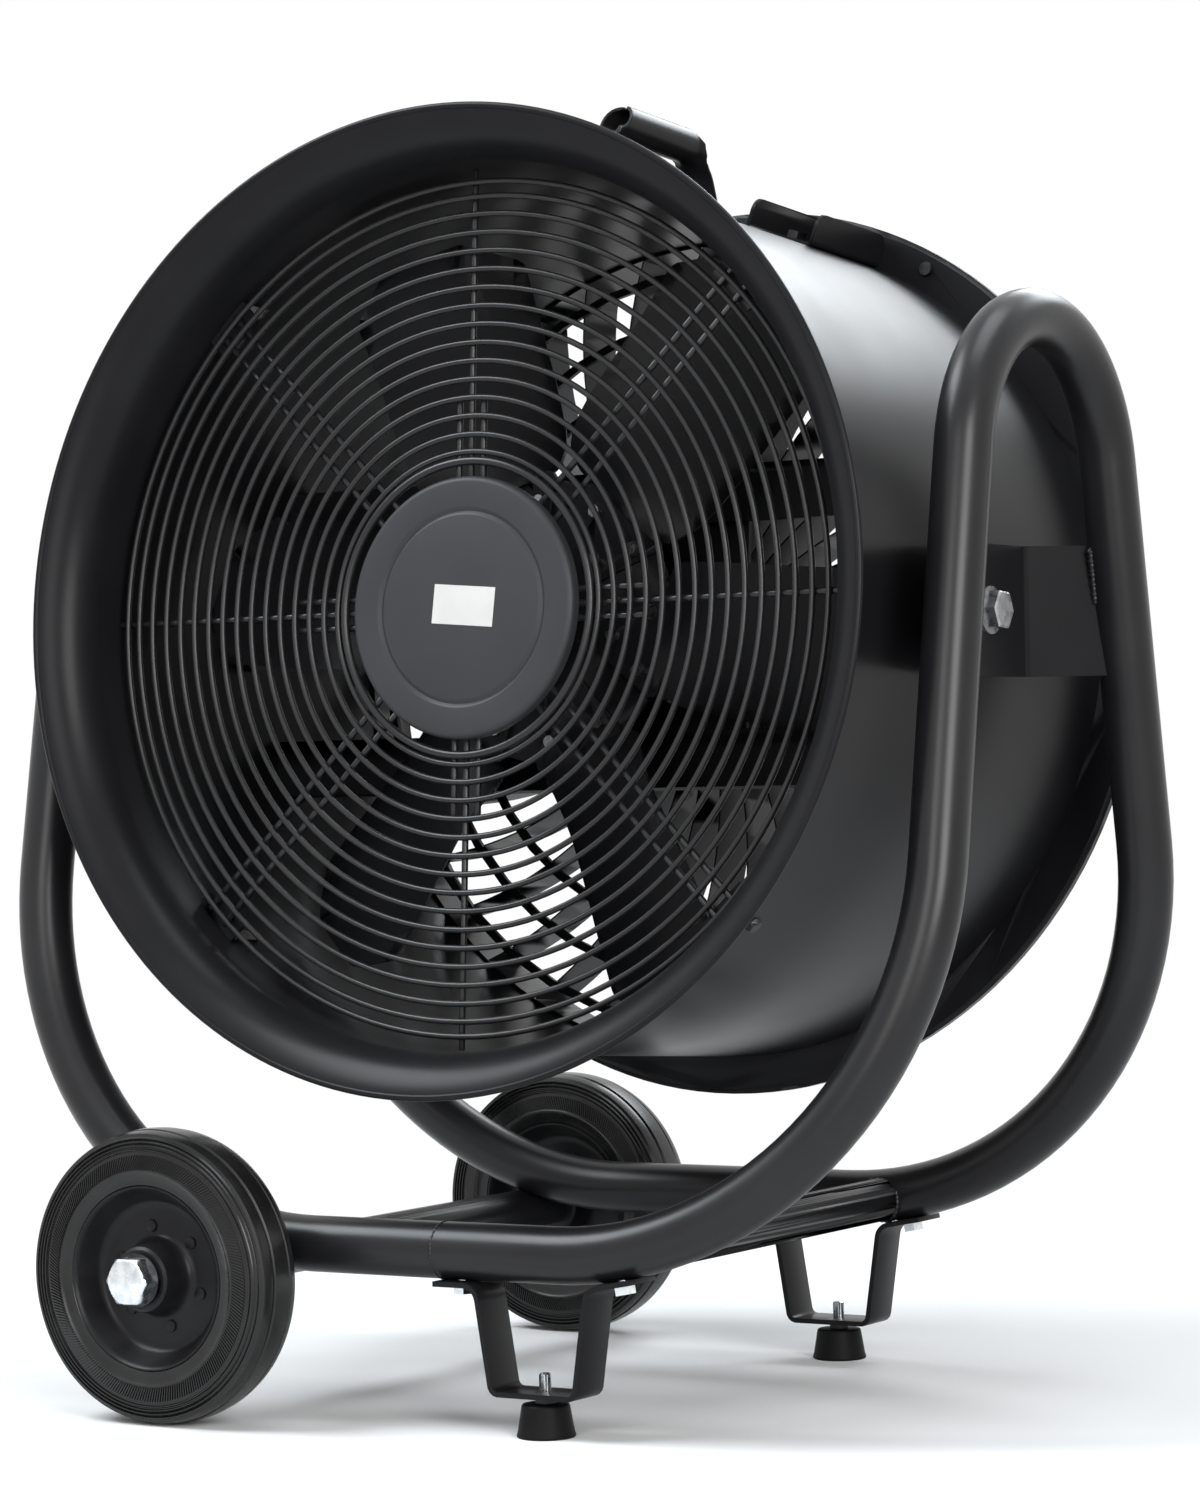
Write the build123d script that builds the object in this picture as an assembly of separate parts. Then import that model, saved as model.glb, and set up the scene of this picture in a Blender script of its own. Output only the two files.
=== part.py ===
"""Tilting drum fan: a flared drum hung between the loops of a bent tube frame.

All sizes are in millimetres. X runs to the right as the fan is looked at from its
outlet, Y runs from the outlet to the back, and Z is up. The floor is Z = 0, and the
origin lies on it under the middle of the frame.

The drum and all that it carries are drawn level, with the drum's axis along Y and the
tilt axis through the origin, and are then tilted and lifted into the frame.
"""

from build123d import *
from math import asin, cos, degrees, pi, radians, sin, tan
import os

# ---- overall sizes ----
drum_radius = 300.0
drum_length = 420.0         # over the flared mouth and the back ring
sheet = 1.5
mouth_flare = 31.0          # how far the mouth spreads outside the drum
wheel_radius = 100.0
inner_radius = drum_radius - sheet
mouth_radius = drum_radius + mouth_flare

# ---- frame of bent tube ----
tube_radius = 19.0
tube_wall = 2.0
mouth_to_leg = 8.0          # room between the mouth and the legs
leg_offset = mouth_radius + mouth_to_leg + tube_radius
leg_lean = 10.2             # degrees from upright, legs spread towards the floor
base_height = wheel_radius + tube_radius    # axles level with the runs' undersides
base_bend = 261.0           # bend radius at the lower corners
loop_bend = 107.5           # bend radius of the loops above the pivots
mouth_to_base = 83.5        # from the lower runs' centreline up to the level mouth
pivot_height = base_height + mouth_to_base + mouth_radius
loop_height = pivot_height + 188.5
seam_front = 10.0           # where the two halves are butt welded
seam_back = 45.0

# ---- cross tubes ----
axle_past_bend = 85.0       # from the start of the lower bends out to the axle
axle_offset = -(leg_offset - base_bend + axle_past_bend)
axle_tube_radius = 15.0
cross_wall = 3.0
brace_offset = 131.0
brace_radius = 15.5

# ---- wheels ----
tyre_width = 44.0
tyre_seat_radius = 63.0
tread_crown = 6.0
wheel_centre = 255.0        # from the middle of the frame to the middle of a wheel
hub_width = 52.0
hub_radius = 20.0
rivet_circle = 34.5
rivet_radius = 4.2
rivet_height = 1.5
axle_radius = 10.0
axle_head_flats = 30.0
axle_head_thick = 12.5
axle_washer_thick = 3.0
axle_grip = 34.0            # length of the threaded bush in the tube's end

# ---- feet ----
foot_offset = 86.0
strap_width = 33.0
strap_thick = 3.5
strap_base = 62.0           # width between the leg corners at the bottom
strap_mouth = 98.0          # width between the leg corners at the top
strap_reach = 76.0          # half the length over both flanges
strap_bend = 6.0
rubber_height = 22.0
rubber_top_radius = 16.0
rubber_foot_radius = 19.5
lock_nut_thick = 4.0
stud_radius = 4.0
stud_above = 12.0           # thread that shows above the strap
bracket_bolt_radius = 4.0
bracket_bolt_inset = 14.0   # from the end of a flange to its bolt

# ---- pivots ----
pivot_back = 14.0           # the tilt axis lies this far behind the frame's middle
rest_tilt = 4.2             # degrees, outlet up
plate_thick = 4.0
plate_height = 88.0
plate_flat = 57.0           # half the length of the flat between the plate's wings
plate_gap = 8.0             # from the drum's wall to the plate
pivot_bolt_radius = 8.0
pivot_head_flats = 24.0
pivot_head_thick = 10.0
pivot_washer_thick = 3.0
boss_radius = 21.0
boss_depth = 12.0           # how far the boss reaches inside the drum

# ---- drum ----
mouth_depth = 59.0          # length of the flare
hem_width = 6.0
back_radius = drum_radius + 27.5
back_lip = 8.0              # depth of the back ring's turned edge
screw_radius = 3.0
screw_head_radius = 5.8
screw_head = 3.0

# ---- front guard ----
wire = 4.2
spoke_wire = 4.6
ring_pitch = 12.4
inner_ring_radius = 99.2
second_ring_radius = 105.5
first_pitch_radius = 117.3
edge_ring_radii = (inner_radius - 20.5, inner_radius - 10.5)
pitched_rings = 1 + int((edge_ring_radii[0] - wire - first_pitch_radius) / ring_pitch)
ring_sides = 40
spoke_start = 80.0
short_spoke_end = 140.0
short_spoke_offset = 9.7
pair_offset = 8.2
guard_inset = 55.0          # from the mouth's edge to the middle of the rings
tab_width = 38.0
tab_length = 30.0
cap_radius = 88.7
cap_depth = 9.0
cap_step_radius = 64.0
cap_step = 1.6

# ---- motor and its mount ----
stator_radius = 66.0
stator_flange = 6.0
core_radius = 46.0
motor_bolt_circle = stator_radius - 10.0
motor_bolt_radius = 4.0
rail_front = 20.0           # face of the rails behind the tilt axis
rail_height = 40.0
rail_outer = stator_radius + 6.0 + rail_height
rail_thick = 4.0
rail_flange = 30.0
motor_plate_half = 115.0
motor_plate_thick = 4.0
shaft_radius = 8.0
rotor_radius = 76.0
rotor_wall = 4.0
rotor_gap = 3.0             # between the stator's flange and the rotor's rim

# ---- impeller ----
hub_front = -52.3           # front face of the plate behind the tilt axis
impeller_plate_radius = 98.0
impeller_plate_thick = 5.0
impeller_collar_radius = 24.0
impeller_collar_length = 14.0
blade_count = 6
first_blade_angle = 48.0
blade_tip_radius = inner_radius - 15.5
blade_root_radius = 46.0
blade_thick = 3.0
blade_lead = 76.0           # width ahead of the blade's centre line
blade_trail = 40.0          # width behind it
blade_sections = (          # radius, pitch in degrees, set back behind the pad
    (96.0, 2.0, 0.0),
    (130.0, 26.0, 5.0),
    (175.0, 26.0, 9.0),
    (230.0, 23.0, 11.0),
    (blade_tip_radius + 9.0, 19.0, 12.0),
)
blade_bolt_outer = 84.0
blade_bolt_inner = 56.0
blade_bolt_spread = 14.0    # degrees either side of the blade's centre line
blade_bolt_radius = 5.5

# ---- back vanes ----
band_clearance = 0.8
band_radius = inner_radius - band_clearance
vane_count = 36
vane_depth = 45.0
vane_thick = 1.2
vane_sweep = 38.0           # degrees between a vane's outer end and the radius there
hoop_pitch = 36.0
hoop_radii = [band_radius - 19.7 - hoop_pitch * step for step in (2, 1, 0)]
hoop_bar = 6.0
hoop_thick = 4.0
back_hub_radius = 62.0

# ---- handle and channel on top ----
grip_radius = 13.0
grip_rise = drum_radius + 64.0
grip_from = 12.0
grip_to = drum_length / 2 - 90.0
handle_foot = 30.0
handle_spread = 38.0        # along the drum, from the grip's end to the leg's foot
handle_thick = 2.5
handle_bend = 16.0
channel_turn = 17.6         # degrees from the top towards +X
channel_width = 57.0
channel_height = 24.0
channel_length = 100.0
channel_thick = 2.5
channel_corner = 10.0
channel_bolt_radius = 4.0

# ---- fits ----
turning = 0.08              # radial clearance of a pin that turns
gap = 0.3                   # between faces that move past each other
seat_gap = 0.3              # between curved faces that touch

# ---- stations along the drum, from the tilt axis ----
front_station = -drum_length / 2
back_station = drum_length / 2
throat_station = front_station + mouth_depth
flange_station = back_station - back_lip
channel_from = flange_station - channel_length
ring_station = front_station + guard_inset
spoke_front = ring_station + wire / 2
spoke_back = spoke_front + spoke_wire
cap_face = spoke_front - cap_depth
hub_back = hub_front + impeller_plate_thick
shaft_front = hub_front - impeller_collar_length
motor_plate_front = rail_front + rail_thick
motor_plate_back = motor_plate_front + motor_plate_thick
stator_front = motor_plate_front - stator_flange
vane_back = flange_station + sheet + sheet
vane_front = vane_back - vane_depth


# ---- helpers ----
def through(face, start, end):
    """Push an outline drawn in X and Z from one Y station to another."""
    return extrude(Plane.XZ.offset(-start) * face, amount=start - end)


def across(face, start, end):
    """Push an outline drawn in Y and Z from one X to another."""
    return extrude(Plane.YZ.offset(start) * face, amount=end - start)


def turned(outline):
    """Turn an outline of (radius, station) points about the drum's axis."""
    return revolve(outline, Axis.Y)


def hexagon(across_flats):
    return RegularPolygon(across_flats / 2, 6, major_radius=False)


def spun(shape, angle):
    """Turn a piece about the drum's axis, counter-clockwise seen from the outlet."""
    return Rot(0, -angle, 0) * shape


def save(name, shape):
    export_step(shape, "parts/" + name + ".step")


def save_many(name, shapes):
    solids = []
    for shape in shapes:
        solids.extend(shape.solids())
    export_step(Compound(children=solids), "parts/" + name + ".step")


def in_frame(shape):
    """Tilt a level piece of the drum and lift it onto the pivots."""
    return Pos(0, pivot_back, pivot_height) * Rot(-rest_tilt, 0, 0) * shape


# ---- frame ----
lean = radians(leg_lean)
loop_centre = loop_height - loop_bend
base_spread = loop_bend / cos(lean) + (loop_centre - base_height) * tan(lean)


def lower_points(side, end):
    """End of the straight run, middle of the bend and start of the leg."""
    up = Vector(0, -end * sin(lean), cos(lean))
    out = Vector(side, 0, 0)
    first = Vector(side * (leg_offset - base_bend), end * base_spread, base_height)
    centre = first + up * base_bend
    middle = centre + (out - up) * (base_bend * sin(pi / 4))
    return first, middle, centre + out * base_bend


def half_path(side):
    """Centreline of one half, from the front seam over the loop to the back seam."""
    f_run, f_mid, f_leg = lower_points(side, -1)
    b_run, b_mid, b_leg = lower_points(side, 1)
    x = side * leg_offset
    rise = loop_centre + loop_bend * sin(lean)
    f_loop = Vector(x, -loop_bend * cos(lean), rise)
    b_loop = Vector(x, loop_bend * cos(lean), rise)
    top = Vector(x, 0, loop_height)
    edges = [
        Line(Vector(seam_front, -base_spread, base_height), f_run),
        ThreePointArc(f_run, f_mid, f_leg),
        Line(f_leg, f_loop),
        ThreePointArc(f_loop, top, b_loop),
        Line(b_loop, b_leg),
        ThreePointArc(b_leg, b_mid, b_run),
        Line(b_run, Vector(seam_back, base_spread, base_height)),
    ]
    return Wire(edges)


def swept(path, outer, inner=0.0):
    start = Plane(origin=path @ 0, z_dir=path % 0)
    face = start * Circle(outer)
    if inner:
        face = face - start * Circle(inner)
    return sweep(face, path)


def lower_core(end):
    """The full thickness of one lower run and its bends, to cope other pieces to."""
    l_run, l_mid, l_leg = lower_points(-1, end)
    r_run, r_mid, r_leg = lower_points(1, end)
    path = Wire(
        [ThreePointArc(l_leg, l_mid, l_run), Line(l_run, r_run), ThreePointArc(r_run, r_mid, r_leg)]
    )
    return swept(path, tube_radius)


def leg_core(side, end):
    """The full thickness of one leg, to cope a pivot plate to."""
    x = side * leg_offset
    leg = lower_points(side, end)[2]
    top = Vector(x, end * loop_bend * cos(lean), loop_centre + loop_bend * sin(lean))
    return swept(Wire([Line(leg, top)]), tube_radius)


def flange_line():
    """Height of the lower run's underside below the outer flange, and its slope."""
    outer = base_bend + tube_radius
    reach = foot_offset + strap_reach - bracket_bolt_inset - (leg_offset - base_bend)
    turn = asin(reach / outer)
    height = base_height + (base_bend - outer * cos(turn)) * cos(lean)
    return height, turn


def bolt_places():
    """Point on the tube's underside and direction of each bracket bolt."""
    height, turn = flange_line()
    inner = foot_offset - strap_reach + bracket_bolt_inset
    outer = foot_offset + strap_reach - bracket_bolt_inset
    flat = base_height - tube_radius
    places = []
    for end in (-1, 1):
        places.append((inner, end * base_spread, flat, 0.0))
        places.append((outer, end * base_spread, height, degrees(turn)))
    return places


def frame_half(side):
    tube = swept(half_path(side), tube_radius, tube_radius - tube_wall)
    for x, y, z, turn in bolt_places():
        hole = Pos(x, y, z) * Rot(0, -turn, 0) * Cylinder(bracket_bolt_radius + turning, 12)
        tube = tube - hole
    return tube


def cross_tube(x, z, radius, half_length, cores):
    tube = through(Pos(x, z) * (Circle(radius) - Circle(radius - cross_wall)), -half_length, half_length)
    for core in cores:
        tube = tube - core
    return max(tube.solids(), key=lambda solid: solid.volume)


# ---- wheels and axles ----
axle_end = wheel_centre - hub_width / 2 - gap
hub_end = wheel_centre + hub_width / 2
axle_height = wheel_radius


def at_wheel(shape, end):
    """Place a wheel piece drawn about the Y axis, its outer side towards -Y."""
    placed = shape if end < 0 else Rot(0, 0, 180) * shape
    return Pos(axle_offset, end * wheel_centre, axle_height) * placed


def tyre():
    half = tyre_width / 2
    seat = tyre_seat_radius
    shoulder = wheel_radius - tread_crown
    profile = [
        (seat, -half + 5),
        (seat + 5, -half + 1.5),
        (seat + 9, -half + 1.5),
        (seat + 10, -half),
        (shoulder - 5, -half),
        (shoulder, -half + 3),
    ]
    other = [(radius, -station) for radius, station in reversed(profile)]
    tread = ThreePointArc(profile[-1], (wheel_radius, 0), other[0])
    return turned(make_face(Polyline(*profile) + tread + Polyline(*other) + Line(other[-1], profile[0])))


disc_profile = (            # radius and distance from the wheel's middle plane
    (axle_radius + turning, hub_width / 2),
    (hub_radius, hub_width / 2),
    (hub_radius + 2.8, hub_width / 2 - 4),
    (hub_radius + 4.2, 8.0),
    (hub_radius + 8.0, 3.0),
    (hub_radius + 10.5, 2.4),
    (tyre_seat_radius - 15.0, 2.6),
    (tyre_seat_radius - 10.5, 6.0),
    (tyre_seat_radius - 4.0, 17.6),
    (tyre_seat_radius - 2.4, 20.0),
    (tyre_seat_radius - 0.8, 19.0),
    (tyre_seat_radius, 17.0),
)


def wheel_disc():
    """Pressed disc with a rolled rim, a long hub and a ring of rivets on each face."""
    near = [(radius, -depth) for radius, depth in disc_profile]
    far = list(reversed(disc_profile))
    disc = turned(make_face(Polyline(*near, *far, close=True)))
    rivet = through(Circle(rivet_radius), -2.5 - rivet_height, 2.5 + rivet_height)
    for step in range(6):
        disc = disc + spun(Pos(rivet_circle, 0, 0) * rivet, 42 + 60 * step)
    return disc


def axle_bolt():
    face = -hub_width / 2 - axle_washer_thick - gap
    shank = through(Circle(axle_radius), face, hub_width / 2 + gap + axle_grip)
    head = through(hexagon(axle_head_flats), face - axle_head_thick, face)
    crown = turned(
        make_face(
            Polyline(
                (0, face - axle_head_thick),
                (axle_head_flats / 2 - 1, face - axle_head_thick),
                (axle_head_flats / 2 + 4, face - axle_head_thick + 2.6),
                (axle_head_flats / 2 + 4, face),
                (0, face),
                close=True,
            )
        )
    )
    return shank + (head & crown)


def axle_washer():
    face = -hub_width / 2 - gap
    ring = Circle(axle_head_flats / 2 + 3) - Circle(axle_radius)
    return through(ring, face - axle_washer_thick, face)


def axle_bush(end):
    ring = Circle(axle_tube_radius - cross_wall) - Circle(axle_radius)
    inner = axle_end - axle_grip
    bush = through(Pos(axle_offset, axle_height) * ring, inner, axle_end)
    return bush if end > 0 else mirror(bush, Plane.XZ)


# ---- feet ----
strap_underside = rubber_height + gap + lock_nut_thick


def foot_strap(end, core):
    """Hat-shaped strap under a lower run, its outer flange following the bend."""
    height, turn = flange_line()
    half = strap_thick / 2
    top = base_height - tube_radius - half
    tangent_x = foot_offset + strap_reach - bracket_bolt_inset

    def flange(x):
        return height + (x - tangent_x) * tan(turn) - half / cos(turn)

    low = strap_underside + half
    left = foot_offset - strap_reach
    right = foot_offset + strap_reach
    corners = [
        (left, top),
        (foot_offset - strap_mouth / 2, top),
        (foot_offset - strap_base / 2, low),
        (foot_offset + strap_base / 2, low),
        (foot_offset + strap_mouth / 2, flange(foot_offset + strap_mouth / 2)),
        (right, flange(right)),
    ]
    line = FilletPolyline(*corners, radius=strap_bend)
    middle = end * base_spread
    strap = through(trace(line, strap_thick), middle - strap_width / 2, middle + strap_width / 2)
    strap = strap - core
    strap = strap - Pos(foot_offset, middle, low) * Cylinder(stud_radius + turning, 4 * strap_thick)
    for x, y, z, angle in bolt_places():
        strap = strap - Pos(x, y, z) * Rot(0, -angle, 0) * Cylinder(bracket_bolt_radius, 14)
    return max(strap.solids(), key=lambda solid: solid.volume)


def bracket_bolts():
    bolts = []
    for x, y, z, turn in bolt_places():
        shank = Pos(0, 0, -strap_thick) * Cylinder(
            bracket_bolt_radius, strap_thick + 8, align=(Align.CENTER, Align.CENTER, Align.MIN)
        )
        head = extrude(Pos(0, 0, -strap_thick) * hexagon(13), amount=-5.5)
        bolts.append(Pos(x, y, z) * Rot(0, -turn, 0) * (shank + head))
    return bolts


def rubber_foot(end):
    cone = Polyline(
        (0, 0),
        (rubber_foot_radius - 1.5, 0),
        (rubber_foot_radius, 1.5),
        (rubber_top_radius, rubber_height - 1.5),
        (rubber_top_radius - 1.5, rubber_height),
        (0, rubber_height),
        close=True,
    )
    body = revolve(Plane.XZ * make_face(cone), Axis.Z)
    body = body - Pos(0, 0, rubber_height) * Cylinder(stud_radius, 24)
    return Pos(foot_offset, end * base_spread, 0) * body


def foot_stud(end):
    top = strap_underside + strap_thick + stud_above
    bottom = rubber_height - 12
    length = top - bottom
    rod = Pos(0, 0, bottom) * Cylinder(stud_radius, length, align=(Align.CENTER, Align.CENTER, Align.MIN))
    rod = chamfer(rod.edges().group_by(Axis.Z)[-1], 0.8)
    return Pos(foot_offset, end * base_spread, 0) * rod


def lock_nut(end):
    nut = extrude(hexagon(13), amount=lock_nut_thick)
    nut = nut - Cylinder(stud_radius + turning, 4 * lock_nut_thick)
    return Pos(foot_offset, end * base_spread, strap_underside - lock_nut_thick) * nut


# ---- pivots ----
plate_inner = drum_radius + plate_gap
boss_face = plate_inner - gap
washer_inner = plate_inner + plate_thick + gap
head_inner = washer_inner + pivot_washer_thick


def pivot_plate(side):
    """Plate between two legs, stepped in towards the drum and coped to the tubes."""
    x_flat = plate_inner + plate_thick / 2
    leg_y = base_spread - (pivot_height - base_height) * tan(lean)
    reach = tube_radius * 0.45
    line = FilletPolyline(
        (leg_offset - reach, -leg_y + reach),
        (x_flat, pivot_back - plate_flat),
        (x_flat, pivot_back + plate_flat),
        (leg_offset - reach, leg_y - reach),
        radius=10,
    )
    low = pivot_height - plate_height / 2
    plate = extrude(Plane.XY.offset(low) * trace(line, plate_thick), amount=plate_height)
    for end in (-1, 1):
        plate = plate - leg_core(1, end)
    plate = max(plate.solids(), key=lambda solid: solid.volume)
    hole = across(Circle(pivot_bolt_radius + turning), plate_inner - 5, washer_inner)
    plate = plate - Pos(0, pivot_back, pivot_height) * hole
    return plate if side > 0 else mirror(plate, Plane.YZ)


def pivot_boss(side):
    boss = across(Circle(boss_radius) - Circle(pivot_bolt_radius), drum_radius - boss_depth, boss_face)
    return boss if side > 0 else mirror(boss, Plane.YZ)


def pivot_bolt(side):
    shank = across(Circle(pivot_bolt_radius), drum_radius - boss_depth - 4, head_inner)
    head = across(hexagon(pivot_head_flats), head_inner, head_inner + pivot_head_thick)
    head = chamfer(head.faces().sort_by(Axis.X)[-1].edges(), 1.2)
    bolt = shank + head
    return bolt if side > 0 else mirror(bolt, Plane.YZ)


def pivot_washer(side):
    ring = Circle(pivot_head_flats / 2 + 4) - Circle(pivot_bolt_radius)
    washer = across(ring, washer_inner, head_inner)
    return washer if side > 0 else mirror(washer, Plane.YZ)


# ---- drum ----
guard_screw_station = throat_station + 20.0
guard_screw_angles = (45, 135, 225, 315)
back_screw_radius = (inner_radius + back_radius) / 2 + 2
back_screw_angles = (0, 60, 120, 180, 240, 300)


def drum_shell():
    shell = through(Circle(drum_radius) - Circle(inner_radius), throat_station, flange_station)
    for side in (-1, 1):
        shell = shell - across(Circle(boss_radius), side * (drum_radius - 30), side * (drum_radius + 10))
    hole = Pos(drum_radius, 0, 0) * Rot(0, 90, 0) * Cylinder(screw_radius, 20)
    for angle in guard_screw_angles:
        shell = shell - spun(Pos(0, guard_screw_station, 0) * hole, angle)
    for station in handle_bolt_stations():
        shell = shell - spun(Pos(0, station, 0) * hole, 90)
    for station in channel_bolt_stations():
        bore = Pos(drum_radius, station, 0) * Rot(0, 90, 0) * Cylinder(channel_bolt_radius, 20)
        shell = shell - spun(bore, 90 - channel_turn)
    return shell


def bell_mouth():
    """Trumpet flare from the shell's end to a flattened hem."""
    reach = mouth_radius - sheet - inner_radius
    depth = mouth_depth - hem_width
    bend = (reach * reach + depth * depth) / (2 * reach)
    sweep_angle = degrees(asin(depth / bend))
    arc = CenterArc((inner_radius + bend, throat_station), bend, 180, sweep_angle)
    outer = CenterArc((inner_radius + bend, throat_station), bend - sheet, 180, sweep_angle)
    ends = Line(arc @ 0, outer @ 0) + Line(arc @ 1, outer @ 1)
    flare = turned(make_face(arc + outer + ends))
    hem = Circle(mouth_radius) - Circle(mouth_radius - 2 * sheet)
    return flare + through(hem, front_station, front_station + hem_width + sheet)


def back_ring():
    """Flat ring round the shell's end, its outer edge turned back."""
    lip = back_radius
    outline = Polyline(
        (inner_radius, flange_station),
        (lip - 3, flange_station),
        (lip, flange_station + 3),
        (lip, back_station),
        (lip - sheet, back_station),
        (lip - sheet, flange_station + 3.6),
        (lip - 3.6, flange_station + sheet),
        (inner_radius, flange_station + sheet),
        close=True,
    )
    ring = turned(make_face(outline))
    hole = through(Circle(screw_radius), flange_station - 2, flange_station + 5)
    for angle in back_screw_angles:
        ring = ring - spun(Pos(back_screw_radius, 0, 0) * hole, angle)
    return ring


def pan_screw(shank_radius, length, head_radius, head_height):
    """Low-headed screw, its head towards -Z and its shank along +Z."""
    shank = extrude(RegularPolygon(shank_radius, 8), amount=length)
    head = extrude(RegularPolygon(head_radius, 12), amount=-head_height, taper=18)
    return shank + head


def drum_screws():
    """Four screws into the guard's tabs and six through the back ring."""
    screws = []
    radial = pan_screw(screw_radius, sheet + 5, screw_head_radius, screw_head)
    for angle in guard_screw_angles:
        placed = Pos(drum_radius, guard_screw_station, 0) * Rot(0, -90, 0) * radial
        screws.append(spun(placed, angle))
    axial = pan_screw(screw_radius, 8.0, screw_head_radius, screw_head)
    for angle in back_screw_angles:
        placed = Pos(back_screw_radius, flange_station, 0) * Rot(-90, 0, 0) * axial
        screws.append(spun(placed, angle))
    return screws


# ---- front guard ----
def polygon_ring(radius, bar, sides, start, end):
    outer = RegularPolygon(radius + bar / 2, sides)
    inner = RegularPolygon(radius - bar / 2, sides)
    return through(outer - inner, start, end)


def guard_rings():
    radii = [second_ring_radius]
    radii += [first_pitch_radius + ring_pitch * step for step in range(pitched_rings)]
    radii += list(edge_ring_radii)
    rings = [polygon_ring(inner_ring_radius, wire + 1.4, ring_sides, ring_station - wire / 2, spoke_front)]
    for radius in radii:
        rings.append(polygon_ring(radius, wire, ring_sides, ring_station - wire / 2, spoke_front))
    return rings


def spoke_bar(offset, inner, outer):
    bar = Pos((inner + outer) / 2, offset) * Rectangle(outer - inner, spoke_wire)
    return through(bar, spoke_front, spoke_back)


def guard_spokes():
    bars = []
    for angle in (0, 90, 180, 270):
        bars.append(spun(spoke_bar(0, spoke_start, inner_radius - 1.0), angle))
        for offset in (-short_spoke_offset, short_spoke_offset):
            bars.append(spun(spoke_bar(offset, spoke_start, short_spoke_end), angle))
    for angle in (45, 135, 225, 315):
        for offset in (-pair_offset, pair_offset):
            bars.append(spun(spoke_bar(offset, spoke_start, inner_radius - 5.0), angle))
    return bars


def guard_tab():
    """Angle that joins a pair of wires to the shell, curved to lie against it."""
    leg = Pos(inner_radius - 2, spoke_back + tab_length / 2, 0) * Box(8, tab_length, tab_width)
    bore = through(Circle(inner_radius) - Circle(inner_radius - 2.5), spoke_back, spoke_back + tab_length)
    foot = Pos(inner_radius - 9, spoke_back + 1.25, 0) * Box(19, 2.5, tab_width)
    foot = foot & through(Circle(inner_radius), spoke_back, spoke_back + 4)
    tab = (leg & bore) + foot
    hole = Pos(inner_radius, guard_screw_station, 0) * Rot(0, 90, 0) * Cylinder(screw_radius, 20)
    return tab - hole


def hub_cap():
    """Pressed cap with a stepped face and a rounded edge."""
    rim = spoke_front
    edge = 4.0
    outer = Polyline((0, cap_face + cap_step), (cap_step_radius - 1.5, cap_face + cap_step))
    step = Line((cap_step_radius - 1.5, cap_face + cap_step), (cap_step_radius + 1.5, cap_face))
    face = Line((cap_step_radius + 1.5, cap_face), (cap_radius - edge, cap_face))
    corner = ThreePointArc(
        (cap_radius - edge, cap_face),
        (cap_radius - edge + edge * sin(pi / 4), cap_face + edge - edge * cos(pi / 4)),
        (cap_radius, cap_face + edge),
    )
    skirt = Polyline(
        (cap_radius, cap_face + edge),
        (cap_radius, rim),
        (cap_radius - sheet, rim),
        (cap_radius - sheet, cap_face + edge),
        (cap_radius - edge, cap_face + sheet),
        (cap_step_radius + 1.5, cap_face + sheet),
        (cap_step_radius - 1.5, cap_face + cap_step + sheet),
        (0, cap_face + cap_step + sheet),
        (0, cap_face + cap_step),
    )
    return turned(make_face(outer + step + face + corner + skirt))


# ---- motor and impeller ----
def motor_rail():
    """Angle across the drum above its axis, the ends coped to the shell."""
    length = 2 * inner_radius
    web = Pos(0, rail_outer - rail_height / 2) * Rectangle(length, rail_height)
    flange = Pos(0, rail_outer - rail_thick / 2) * Rectangle(length, rail_thick)
    rail = through(web, rail_front, motor_plate_front)
    rail = rail + through(flange, rail_front, rail_front + rail_flange)
    return rail & through(Circle(inner_radius - seat_gap), rail_front, rail_front + rail_flange)


def on_bolt_circle(shape):
    return [spun(Pos(motor_bolt_circle, 0, 0) * shape, 45 + 90 * step) for step in range(4)]


def motor_plate():
    """Plate between the rails, drilled for the motor's bolts and the shaft's end."""
    face = Rectangle(2 * motor_plate_half, 2 * (rail_outer - rail_thick)) - Circle(shaft_radius + 2)
    plate = through(face, motor_plate_front, motor_plate_back)
    bore = through(Circle(motor_bolt_radius + turning), motor_plate_front, motor_plate_back)
    for hole in on_bolt_circle(bore):
        plate = plate - hole
    return plate


def motor_bolt():
    shank = through(Circle(motor_bolt_radius), stator_front, motor_plate_back)
    return shank + through(hexagon(13), motor_plate_back, motor_plate_back + 5.3)


def motor_stator():
    """Fixed half of the motor: a flange and the core that the shaft turns in."""
    flange = through(Circle(stator_radius), stator_front, motor_plate_front)
    core = through(Circle(core_radius), hub_back + rotor_wall + 6, stator_front)
    bore = through(Circle(shaft_radius + turning), hub_back, motor_plate_front)
    stator = flange + core - bore
    for hole in on_bolt_circle(through(Circle(motor_bolt_radius + turning), stator_front, motor_plate_front)):
        stator = stator - hole
    return stator


def motor_rotor():
    """Turning half: a cup over the stator's core, with its shaft."""
    rim = stator_front - rotor_gap
    cup = through(Circle(rotor_radius), hub_back, rim)
    cup = cup - through(Circle(rotor_radius - rotor_wall), hub_back + rotor_wall, rim)
    return cup + through(Circle(shaft_radius), shaft_front, stator_front)


def impeller_plate():
    plate = through(Circle(impeller_plate_radius), hub_front, hub_back)
    collar = through(Circle(impeller_collar_radius), shaft_front, hub_front)
    return plate + collar - through(Circle(shaft_radius), shaft_front, hub_back)


pad_front = hub_front - blade_thick
blade_bolt_places = (
    (blade_bolt_inner, 0.0),
    (blade_bolt_outer, -blade_bolt_spread),
    (blade_bolt_outer, blade_bolt_spread),
)


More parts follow.
